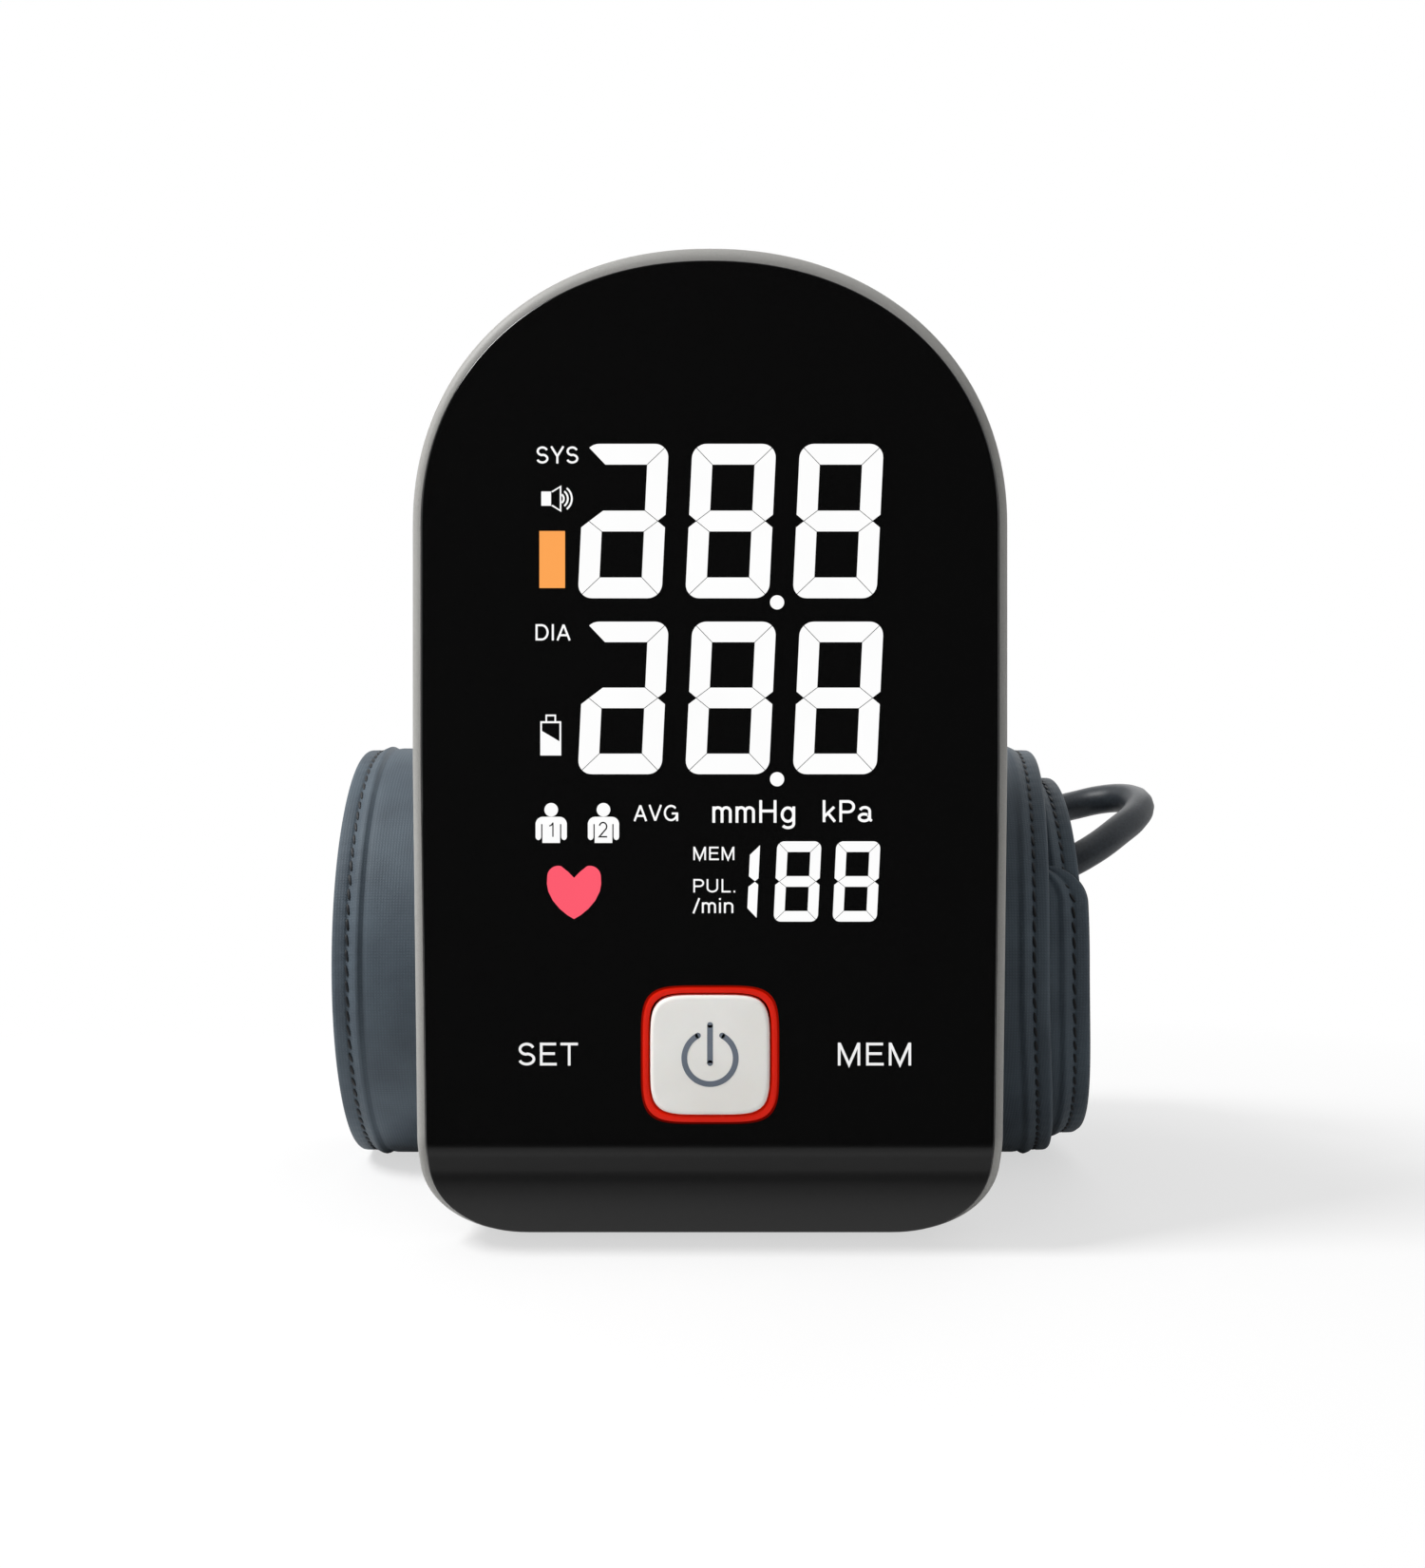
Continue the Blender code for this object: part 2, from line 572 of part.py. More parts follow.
def add_screw_bosses(shell):
    """Tubes that the screws go down, from the back wall to the front housing's posts."""
    front = FRONT_Y + BOSS_FRONT_DEPTH
    seat = front + 3.0 * MM
    for k, (x, z) in enumerate(screw_places(), 1):
        back = BACK_Y - REAR_WALL if abs(z - UPPER_SCREW_Z) < CLEARANCE else BACK_Y - 4.0 * MM
        add(shell, rod(f"boss_{k}", (x, front, z), (x, back + REAR_WALL / 2, z), BOSS_RADIUS, DARK_ABS))
        cut(shell, rod(f"boss_bore_{k}", (x, seat, z), (x, BACK_Y + CUT_PAST, z),
                       SCREW_HEAD_RADIUS + CLEARANCE, DARK_ABS))
        cut(shell, rod(f"boss_hole_{k}", (x, front - CUT_PAST, z), (x, seat + CUT_PAST, z),
                       SCREW_RADIUS + CLEARANCE, DARK_ABS))


def add_pump_saddles(shell):
    """Two ribs on the back wall, hollowed to the motor's and the pump head's radius."""
    axis_y = FRONT_Y + PUMP_DEPTH
    for k, (middle, radius) in enumerate(((PUMP_START_X + MOTOR_LENGTH / 2, MOTOR_RADIUS),
                                          (PUMP_START_X + MOTOR_LENGTH + HEAD_LENGTH / 2,
                                           HEAD_RADIUS)), 1):
        rib = block(f"saddle_{k}", (middle - PUMP_SADDLE, axis_y, PUMP_Z - radius * 0.8),
                    (middle + PUMP_SADDLE, BACK_Y - REAR_WALL / 2, PUMP_Z + radius * 0.8), DARK_ABS)
        add(shell, rib)
        cut(shell, rod(f"saddle_hollow_{k}", (middle - 2 * PUMP_SADDLE, axis_y, PUMP_Z),
                       (middle + 2 * PUMP_SADDLE, axis_y, PUMP_Z), radius + CLEARANCE, DARK_ABS, 28))


def wall_x():
    """The outside of the casing's side wall at the height of the socket and the jack."""
    return side_x(PORT_Z) - 0.5 * MM


def cut_side_ports(shell):
    y = FRONT_Y + PORT_DEPTH
    cut(shell, rod("socket_hole", (-wall_x() - CUT_PAST, y, PORT_Z), (-wall_x() + 3 * REAR_WALL, y,
            PORT_Z),
                   SOCKET_RADIUS + CLEARANCE, DARK_ABS))
    width, height = JACK_HALF_WIDTH + CLEARANCE, JACK_HALF_HEIGHT + CLEARANCE
    cut(shell, block("jack_hole", (wall_x() - 3 * REAR_WALL, y - width, PORT_Z - height),
                     (wall_x() + CUT_PAST, y + width, PORT_Z + height), DARK_ABS))


def cut_speaker_slots(shell):
    for k in range(SLOT_COUNT):
        z = SPEAKER_Z + (k - (SLOT_COUNT - 1) / 2) * 2 * SLOT_WIDTH
        half = 0.7 * SPEAKER_RADIUS
        cut(shell, block(f"speaker_slot_{k + 1}", (SPEAKER_X - half, BACK_Y - 2 * REAR_WALL,
                                                   z - SLOT_WIDTH / 2),
                         (SPEAKER_X + half, BACK_Y + CUT_PAST, z + SLOT_WIDTH / 2), DARK_ABS))


def battery_cover():
    """The lid, with a hinge pin at each lower corner and three finger ribs at its top."""
    lid = block("battery_cover", (-LID_HALF_WIDTH, LID_FRONT_Y, LID_BOTTOM_Z),
                (LID_HALF_WIDTH, BACK_Y, LID_TOP_Z), DARK_ABS)
    reach = LID_HALF_WIDTH + HINGE_PIN_LENGTH
    add(lid, rod("hinge_pins", (-reach, HINGE_Y, HINGE_Z), (reach, HINGE_Y, HINGE_Z),
                 HINGE_PIN_RADIUS, DARK_ABS, 12))
    for k in range(3):
        z = LID_TOP_Z - 6.0 * MM - 2.4 * MM * k
        groove = block(f"lid_groove_{k + 1}", (-8.0 * MM, BACK_Y - 0.5 * MM, z - 0.5 * MM),
                       (8.0 * MM, BACK_Y + CUT_PAST, z + 0.5 * MM), DARK_ABS)
        cut(lid, groove)
    set_origin(lid, (0, HINGE_Y, HINGE_Z))


def set_origin(thing, place):
    """Move the object's origin to its joint's axis without moving its shape."""
    shift = Vector(place) - thing.location
    for corner in thing.data.vertices:
        corner.co -= shift
    thing.location = place


def base_pad():
    block("base_pad", (-PAD_HALF_WIDTH, -PAD_HALF_DEPTH, 0.0),
          (PAD_HALF_WIDTH, PAD_HALF_DEPTH, PAD_THICK), RUBBER)


def power_button():
    """White cap in a red light ring, on the plunger of a tactile switch."""
    face_y = FRONT_Y - BUTTON_PROUD
    soft = 0.5 * MM
    rings = []
    for half, y in ((BUTTON_HALF, face_y + BUTTON_THICK), (BUTTON_HALF, face_y + soft),
                    (BUTTON_HALF - soft / 3, face_y + soft / 3), (BUTTON_HALF - soft, face_y)):
        rings.append([(x, y, z) for x, z in squircle(half)])
    cap = loft("power_button", rings, WHITE_ABS, "plain")
    plunger_front = FRONT_Y + MAIN_BOARD_DEPTH - SWITCH_SIZE * 0.6 - 1.2 * MM
    stem_back = plunger_front - CLEARANCE
    add(cap, rod("button_stem", (0, face_y + BUTTON_THICK - soft, BUTTON_Z), (0, stem_back, BUTTON_Z),
                 PLUNGER_RADIUS, WHITE_ABS, 16))
    outer, inner = BUTTON_HALF + CLEARANCE + RING_WALL, BUTTON_HALF + CLEARANCE
    front, back = FRONT_Y - RING_PROUD, FRONT_Y + RING_DEPTH
    flange_front = FRONT_Y + PANEL_THICK + CLEARANCE
    rows = ((inner, back), (inner, front), (outer, front), (outer, flange_front),
            (outer + RING_FLANGE, flange_front), (outer + RING_FLANGE, back))
    rings = [[(x, y, z) for x, z in squircle(half)] for half, y in rows]
    loft("button_light_ring", rings, RED_LENS, "joined")
    switch_back = FRONT_Y + MAIN_BOARD_DEPTH - CLEARANCE
    switch_front = switch_back - SWITCH_SIZE * 0.6
    half = SWITCH_SIZE / 2
    body = block("tact_switch", (-half, switch_front, BUTTON_Z - half), (half, switch_back,
            BUTTON_Z + half), STEEL)
    sink = BUTTON_TRAVEL + 2 * CLEARANCE
    cut(body, rod("switch_well", (0, switch_front - CUT_PAST, BUTTON_Z),
                  (0, switch_front + sink + 0.5 * MM, BUTTON_Z),
                  PLUNGER_RADIUS + CLEARANCE, STEEL, 16))
    rod("tact_plunger", (0, plunger_front, BUTTON_Z), (0, switch_front + 0.5 * MM, BUTTON_Z),
        PLUNGER_RADIUS, DARK_ABS, 16)


def display():
    """White light guide with a window for each row of digits, its LED board and the main board."""
    front = FRONT_Y + GUIDE_DEPTH
    x = DISPLAY_HALF_WIDTH
    guide = block("display_light_guide", (-x, front, DISPLAY_BOTTOM_Z), (x, front + GUIDE_THICK,
            DISPLAY_TOP_Z), WHITE_ABS)
    rows = 3
    pitch = (DISPLAY_TOP_Z - DISPLAY_BOTTOM_Z) / rows
    for k in range(rows):
        low = DISPLAY_BOTTOM_Z + k * pitch + GUIDE_WALL
        cut(guide, block(f"guide_window_{k + 1}", (-x + GUIDE_WALL, front - CUT_PAST, low),
                         (x - GUIDE_WALL, front + GUIDE_THICK + CUT_PAST,
                          low + pitch - 2 * GUIDE_WALL), WHITE_ABS))
    y = FRONT_Y + LED_BOARD_DEPTH
    block("led_board", (-x, y, DISPLAY_BOTTOM_Z), (x, y + BOARD_THICK, DISPLAY_TOP_Z), GREEN_BOARD)
    y = FRONT_Y + MAIN_BOARD_DEPTH
    block("main_board", (-MAIN_BOARD_HALF_WIDTH, y, MAIN_BOARD_BOTTOM_Z),
          (MAIN_BOARD_HALF_WIDTH, y + BOARD_THICK, DISPLAY_TOP_Z), GREEN_BOARD)


def coil_points(centre, along, radius, length, turns, per_turn=8):
    """Points of a compression spring that starts at centre and runs along its axis."""
    along = Vector(along).normalized()
    across = along.orthogonal().normalized()
    upward = along.cross(across)
    points = []
    for i in range(turns * per_turn + 1):
        turn = 2 * math.pi * i / per_turn
        rise = length * i / (turns * per_turn)
        outwards = across * math.cos(turn) + upward * math.sin(turn)
        points.append(Vector(centre) + along * rise + radius * outwards)
    return points


def touch_springs():
    """Springs that carry the touch keys' fields from the main board to the panel."""
    front = FRONT_Y + PANEL_THICK + CLEARANCE + TOUCH_WIRE
    back = FRONT_Y + MAIN_BOARD_DEPTH - CLEARANCE - TOUCH_WIRE
    for name, x in (("touch_spring_left", -TOUCH_X), ("touch_spring_right", TOUCH_X)):
        points = coil_points((x, front, BUTTON_Z), (0, 1, 0), TOUCH_RADIUS, back - front, 3)
        tube(name, points, TOUCH_WIRE, STEEL, 0)


def batteries():
    """Cells stand side by side, every other one upside down, each on a spring."""
    low = BAY_BOTTOM_Z + CLEARANCE
    high = BAY_TOP_Z - CLEARANCE
    x = BAY_HALF_WIDTH - CLEARANCE
    contact_y = (BAY_FLOOR_Y + CLEARANCE,
                 LID_FRONT_Y - LID_SWING_ROOM - 2 * HINGE_ABOVE_EDGE - CLEARANCE)
    block("battery_contacts_lower", (-x, contact_y[0], low), (x, contact_y[1], low + CONTACT_THICK),
          STEEL)
    block("battery_contacts_upper", (-x, contact_y[0], high - CONTACT_THICK), (x, contact_y[1],
            high), STEEL)
    for k in range(CELL_COUNT):
        x = (k - (CELL_COUNT - 1) / 2) * CELL_PITCH
        up = 1 if k % 2 == 0 else -1
        foot = low + CONTACT_THICK + CLEARANCE if up > 0 else high - CONTACT_THICK - CLEARANCE
        wire = SPRING_WIRE
        points = coil_points((x, CELL_Y, foot + up * wire), (0, 0, up), SPRING_RADIUS,
                             SPRING_LENGTH - 2 * wire, 3)
        tube(f"battery_spring_{k + 1}", points, wire, STEEL, 0)
        start = foot + up * (SPRING_LENGTH + CLEARANCE)
        soft = 0.5 * MM
        profile = ((0, 0), (CELL_RADIUS - soft, 0), (CELL_RADIUS, soft), (CELL_RADIUS,
                CELL_LENGTH - soft),
                   (CELL_RADIUS - soft, CELL_LENGTH), (1.9 * MM, CELL_LENGTH),
                   (1.9 * MM, CELL_LENGTH + CELL_NUB - CLEARANCE), (0,
                           CELL_LENGTH + CELL_NUB - CLEARANCE))
        turned(f"battery_cell_{k + 1}", profile, (x, CELL_Y, start), (0, 0, up), CELL_SKIN, 16)


def housing_screws():
    """A pan head with a cross slot on a plain shank."""
    seat = FRONT_Y + BOSS_FRONT_DEPTH + 3.0 * MM + CLEARANCE
    head = 1.8 * MM
    for k, (x, z) in enumerate(screw_places(), 1):
        profile = ((0, 0), (SCREW_HEAD_RADIUS * 0.8, 0), (SCREW_HEAD_RADIUS, 0.5 * MM),
                   (SCREW_HEAD_RADIUS, head),
                   (SCREW_RADIUS, head), (SCREW_RADIUS, SCREW_LENGTH), (SCREW_RADIUS * 0.4,
                           SCREW_LENGTH + 1.2 * MM),
                   (0, SCREW_LENGTH + 1.2 * MM))
        screw = turned(f"housing_screw_{k}", profile, (x, seat + head, z), (0, -1, 0), STEEL, 12)
        for arm, (wide, tall) in enumerate(((1.5 * MM, 0.35 * MM), (0.35 * MM, 1.5 * MM)), 1):
            cut(screw, block(f"slot_{k}_{arm}", (x - wide, seat + head - 0.8 * MM, z - tall),
                             (x + wide, seat + head + CUT_PAST, z + tall), STEEL))


def air_pump():
    """Motor, pump head and the rotor whose cam works the head's diaphragms."""
    y = FRONT_Y + PUMP_DEPTH
    start = (PUMP_START_X, y, PUMP_Z)
    bore = SHAFT_RADIUS + CLEARANCE
    well = 6.0 * MM
    turned("pump_motor", ((0, 0), (MOTOR_RADIUS - 1.0 * MM, 0), (MOTOR_RADIUS, 1.0 * MM),
                          (MOTOR_RADIUS, MOTOR_LENGTH),
                          (bore, MOTOR_LENGTH), (bore, MOTOR_LENGTH - well), (0, MOTOR_LENGTH - well)),
           start, (1, 0, 0), STEEL, 24)
    front = MOTOR_LENGTH + CLEARANCE
    back = front + HEAD_LENGTH
    room = CAM_RADIUS + CAM_OFFSET + 2.0 * MM
    profile = ((0, back), (HEAD_RADIUS, back), (HEAD_RADIUS, front), (bore, front),
               (bore, front + HEAD_WALL),
               (room, front + HEAD_WALL), (room, back - HEAD_WALL), (0, back - HEAD_WALL))
    head = turned("pump_head", profile, start, (1, 0, 0), DARK_ABS, 24)
    add(head, rod("pump_nipple", (pump_nipple_x(), y, PUMP_Z - HEAD_RADIUS + 1.0 * MM),
                  (pump_nipple_x(), y,
                   PUMP_Z - HEAD_RADIUS - NIPPLE_LENGTH), NIPPLE_RADIUS, DARK_ABS, 12))
    shaft_end = back - HEAD_WALL - 0.6 * MM
    rotor = turned("pump_rotor", ((0, 0), (SHAFT_RADIUS, 0), (SHAFT_RADIUS,
                                                              shaft_end - MOTOR_LENGTH + well - CLEARANCE),
                                  (0, shaft_end - MOTOR_LENGTH + well - CLEARANCE)),
                   (PUMP_START_X + MOTOR_LENGTH - well + CLEARANCE, y, PUMP_Z), (1, 0, 0), BRASS, 12)
    cam_start, cam_end = front + HEAD_WALL + 1.5 * MM, back - HEAD_WALL - 2.0 * MM
    add(rotor, rod("cam", (PUMP_START_X + cam_start, y, PUMP_Z + CAM_OFFSET),
                   (PUMP_START_X + cam_end, y, PUMP_Z + CAM_OFFSET),
                   CAM_RADIUS, BRASS, 20))
    set_origin(rotor, (PUMP_START_X + MOTOR_LENGTH, y, PUMP_Z))


def air_parts():
    """Valve, pressure sensor and manifold on the main board, and the socket in the side wall."""
    front = FRONT_Y + MAIN_BOARD_BACK + CLEARANCE
    valve_back = deflation_valve(front)
    valve_plunger(valve_back)
    sensor_back = pressure_sensor(front)
    middle = air_manifold(front)
    air_socket()
    air_tubes(middle, sensor_back)


def deflation_valve(front):
    half, back = VALVE_SIZE / 2, front + VALVE_LENGTH
    valve = block("deflation_valve", (VALVE_X - half, front, VALVE_Z - half), (VALVE_X + half, back,
            VALVE_Z + half), WHITE_ABS)
    cut(valve, rod("valve_bore", (VALVE_X, back - VALVE_BORE_DEPTH, VALVE_Z),
                   (VALVE_X, back + CUT_PAST, VALVE_Z),
                   VALVE_PIN_RADIUS + CLEARANCE, WHITE_ABS, 16))
    return back


def valve_plunger(valve_back):
    """A headed pin that stands off the valve by its travel and slides into the bore."""
    pin, head = VALVE_BORE_DEPTH - 2 * CLEARANCE, 1.2 * MM
    start = valve_back - pin + VALVE_TRAVEL + CLEARANCE
    profile = ((0, 0), (VALVE_PIN_RADIUS, 0), (VALVE_PIN_RADIUS, pin), (VALVE_PIN_RADIUS + 1.0 * MM,
            pin),
               (VALVE_PIN_RADIUS + 1.0 * MM, pin + head), (0, pin + head))
    plunger = turned("valve_plunger", profile, (VALVE_X, start, VALVE_Z), (0, 1, 0), BRASS, 16)
    set_origin(plunger, (VALVE_X, valve_back, VALVE_Z))


def pressure_sensor(front):
    half, back = SENSOR_SIZE / 2, front + SENSOR_THICK
    sensor = block("pressure_sensor", (SENSOR_X - half, front, VALVE_Z - half), (SENSOR_X + half,
            back, VALVE_Z + half), DARK_ABS)
    add(sensor, rod("sensor_nipple", (SENSOR_X, back - 1.0 * MM, VALVE_Z),
                    (SENSOR_X, back + NIPPLE_LENGTH, VALVE_Z),
                    NIPPLE_RADIUS, DARK_ABS, 12))
    return back


def air_manifold(front):
    """A block with nipples to the sensor, the valve, the pump and the socket."""
    half, deep = MANIFOLD_HALF, 2 * NIPPLE_LENGTH
    back, middle = front + deep, front + deep / 2
    manifold = block("air_manifold", (-half, front, VALVE_Z - half), (half, back, VALVE_Z + half),
                     WHITE_ABS)
    right = VALVE_X - VALVE_SIZE / 2 - CLEARANCE
    add(manifold, rod("cross_nipples", (-half - NIPPLE_LENGTH, middle, VALVE_Z), (right, middle,
            VALVE_Z), NIPPLE_RADIUS, WHITE_ABS, 12))
    add(manifold, rod("pump_side_nipple", (0, back - 1.0 * MM, VALVE_Z), (0, back + NIPPLE_LENGTH,
            VALVE_Z), NIPPLE_RADIUS, WHITE_ABS, 12))
    add(manifold, rod("socket_side_nipple", (0, middle, VALVE_Z - half + 1.0 * MM),
                      (0, middle, VALVE_Z - half - NIPPLE_LENGTH),
                      NIPPLE_RADIUS, WHITE_ABS, 12))
    return middle


def air_socket():
    """A turned bush in the left wall, held by a flange inside, with a nipple for its tube."""
    y = FRONT_Y + PORT_DEPTH
    outside = socket_outside()
    profile = ((SOCKET_BORE, 0), (SOCKET_RADIUS, 0), (SOCKET_RADIUS, SOCKET_GRIP), (SOCKET_FLANGE,
            SOCKET_GRIP),
               (SOCKET_FLANGE, SOCKET_GRIP + 1.4 * MM), (SOCKET_RADIUS, SOCKET_GRIP + 1.4 * MM),
               (SOCKET_RADIUS, SOCKET_LENGTH), (SOCKET_BORE, SOCKET_LENGTH))
    socket = turned("air_socket", profile, (outside, y, PORT_Z), (1, 0, 0), STEEL, 20)
    plug = SOCKET_BORE + 0.6 * MM
    profile = ((0, 0), (plug, 0), (plug, 1.5 * MM), (NIPPLE_RADIUS, 1.5 * MM),
               (NIPPLE_RADIUS, 1.0 * MM + NIPPLE_LENGTH), (0, 1.0 * MM + NIPPLE_LENGTH))
    add(socket, turned("socket_nipple", profile, (outside + SOCKET_LENGTH - 1.0 * MM, y, PORT_Z),
                       (1, 0, 0), STEEL, 16))


def socket_outside():
    return -wall_x() - 0.3 * MM


def air_tubes(middle, sensor_back):
    """Soft tubes from nipple to nipple; each leaves its nipple straight."""
    y = FRONT_Y + PORT_DEPTH
    gap, straight = CLEARANCE, 2.5 * MM
    half = MANIFOLD_HALF
    tip = socket_outside() + SOCKET_LENGTH + NIPPLE_LENGTH + gap
    low = VALVE_Z - half - NIPPLE_LENGTH - gap
    tube_to("air_tube_socket", ((tip, y, PORT_Z), (tip + straight, y, PORT_Z), (tip + 6.5 * MM,
            y + 5 * MM, PORT_Z - 2.5 * MM),
                                (-19 * MM, y + 7.5 * MM, PORT_Z - 10 * MM), (-12 * MM, y + 3 * MM,
                                        low - 5.5 * MM),
                                (-4.5 * MM, middle + 5 * MM, low - 9 * MM), (-0.4 * MM,
                                        middle + 0.4 * MM, low - 6.5 * MM),
                                (0, middle, low - straight), (0, middle, low)))
    back = sensor_back + NIPPLE_LENGTH + gap
    left = -half - NIPPLE_LENGTH - gap
    tube_to("air_tube_sensor", ((SENSOR_X, back, VALVE_Z), (SENSOR_X, back + straight, VALVE_Z),
                                (SENSOR_X + 3.2 * MM, back + 5.2 * MM, VALVE_Z), (SENSOR_X + 8 * MM,
                                        back + 3.6 * MM, VALVE_Z),
                                (left - 5.5 * MM, middle + 4.5 * MM, VALVE_Z), (left - straight,
                                        middle, VALVE_Z),
                                (left, middle, VALVE_Z)))
    pump_y = FRONT_Y + PUMP_DEPTH
    nipple_z = PUMP_Z - HEAD_RADIUS - NIPPLE_LENGTH - gap
    manifold_tip = middle + 2 * NIPPLE_LENGTH + gap
    tube_to("air_tube_pump", ((pump_nipple_x(), pump_y, nipple_z), (pump_nipple_x(), pump_y,
            nipple_z - straight),
                              (pump_nipple_x() - 2 * MM, pump_y + 2 * MM, VALVE_Z + 5 * MM),
                              (4 * MM, pump_y + 3.5 * MM, VALVE_Z + 1 * MM), (0.3 * MM,
                                      pump_y + 1 * MM, VALVE_Z),
                              (0, manifold_tip + straight, VALVE_Z), (0, manifold_tip, VALVE_Z)))


def pump_nipple_x():
    return PUMP_START_X + MOTOR_LENGTH + CLEARANCE + HEAD_LENGTH - NIPPLE_LENGTH


def tube_to(name, points):
    return tube(name, smooth_route(points, 1.3 * AIR_TUBE_RADIUS), AIR_TUBE_RADIUS, CLEAR_TUBE, 1)


def usb_jack():
    """A steel shell round a contact tongue, open to the right."""
    y = FRONT_Y + PORT_DEPTH
    x1 = wall_x() - 0.2 * MM
    x0 = x1 - JACK_LENGTH
    wide, tall = JACK_HALF_WIDTH, JACK_HALF_HEIGHT
    jack = block("charging_jack", (x0, y - wide, PORT_Z - tall), (x1, y + wide, PORT_Z + tall), STEEL)
    skin = 0.4 * MM
    cut(jack, block("jack_mouth", (x0 + 2 * skin, y - wide + skin, PORT_Z - tall + skin),
                    (x1 + CUT_PAST, y + wide - skin, PORT_Z + tall - skin), STEEL))
    add(jack, block("jack_tongue", (x0 + skin, y - wide * 0.7, PORT_Z - 0.35 * MM),
                    (x1 - 1.0 * MM, y + wide * 0.7, PORT_Z + 0.35 * MM), STEEL))


def speaker():
    back = BACK_Y - REAR_WALL - CLEARANCE
    turned("speaker", ((0, 0), (SPEAKER_RADIUS, 0), (SPEAKER_RADIUS, 1.5 * MM),
                       (SPEAKER_RADIUS * 0.7, 2.2 * MM),
                       (SPEAKER_RADIUS * 0.7, SPEAKER_THICK), (0, SPEAKER_THICK)),
           (SPEAKER_X, back, SPEAKER_Z), (0, -1, 0), DARK_ABS, 24)


def eased(table, at):
    """A size read from (place, millimetres) pairs, with smooth steps between them."""
    if at <= table[0][0]:
        return table[0][1] * MM
    for (a, low), (b, high) in zip(table, table[1:]):
        if at <= b:
            t = (at - a) / (b - a)
            return (low + (high - low) * t * t * (3 - 2 * t)) * MM
    return table[-1][1] * MM


def strip_radius(turn):
    """The outside radius of the cuff strip along its winding angle."""
    t = min(max((turn - DIVE_START) / (DIVE_END - DIVE_START), 0.0), 1.0)
    return ROLL_RADIUS - (ROLL_RADIUS - INNER_TURN_RADIUS) * t * t * (3 - 2 * t)


def on_roll(turn, radius, x):
    """A point on the roll: turn is 0 at its front, 90 at its top."""
    angle = math.radians(turn)
    return (x, CUFF_Y - radius * math.cos(angle), CUFF_Z + radius * math.sin(angle))


def band(name, start, end, outer, thick, left, right, finish):
    """A curved band of cloth; outer, left and right give its surface at each winding angle."""
    rings = []
    for k in range(round((end - start) / TURN_STEP) + 1):
        turn = start + k * TURN_STEP
        r, x0, x1 = outer(turn), left(turn), right(turn)
        rings.append([on_roll(turn, r, x0), on_roll(turn, r, x1),
                      on_roll(turn, r - thick, x1), on_roll(turn, r - thick, x0)])
    return loft(name, rings, finish, "plain")


def strip_left(turn):
    return eased(LEFT_EDGE, turn)


def strip_right(turn):
    return eased(RIGHT_EDGE, turn)


def cuff():
    band("cuff_outer_cloth", TAIL_ANGLE, STRIP_END, strip_radius, OUTER_CLOTH, strip_left,
         strip_right, CUFF_CLOTH)
    inner_top = STRIP_THICK - INNER_CLOTH
    band("cuff_inner_cloth", TAIL_ANGLE, STRIP_END, lambda turn: strip_radius(turn) - inner_top,
         INNER_CLOTH, strip_left, strip_right, CUFF_CLOTH)
    bladder_thick = inner_top - OUTER_CLOTH - 2 * CLEARANCE
    band("cuff_bladder", BLADDER_START, BLADDER_END,
         lambda turn: strip_radius(turn) - OUTER_CLOTH - CLEARANCE,
         bladder_thick, lambda turn: strip_left(turn) + BLADDER_MARGIN,
         lambda turn: strip_right(turn) - BLADDER_MARGIN, HOSE_RUBBER)
    flap_outer = ROLL_RADIUS - STRIP_THICK - CLEARANCE
    band("cuff_closure_flap", FLAP_FROM, FLAP_TO, lambda turn: flap_outer, FLAP_THICK,
         lambda turn: FLAP_LEFT_X, lambda turn: eased(FLAP_RIGHT_EDGE, turn), CUFF_CLOTH)
    loop_thick = FLAP_THICK - HOOK_THICK - CLEARANCE
    band("cuff_hook_patch", HOOK_FROM, HOOK_TO, lambda turn: flap_outer, HOOK_THICK,
         lambda turn: -HOOK_HALF_WIDTH, lambda turn: HOOK_HALF_WIDTH, RUBBER)
    band("cuff_loop_patch", HOOK_FROM, HOOK_TO, lambda turn: flap_outer - HOOK_THICK - CLEARANCE,
         loop_thick,
         lambda turn: -HOOK_HALF_WIDTH, lambda turn: HOOK_HALF_WIDTH, CUFF_CLOTH)


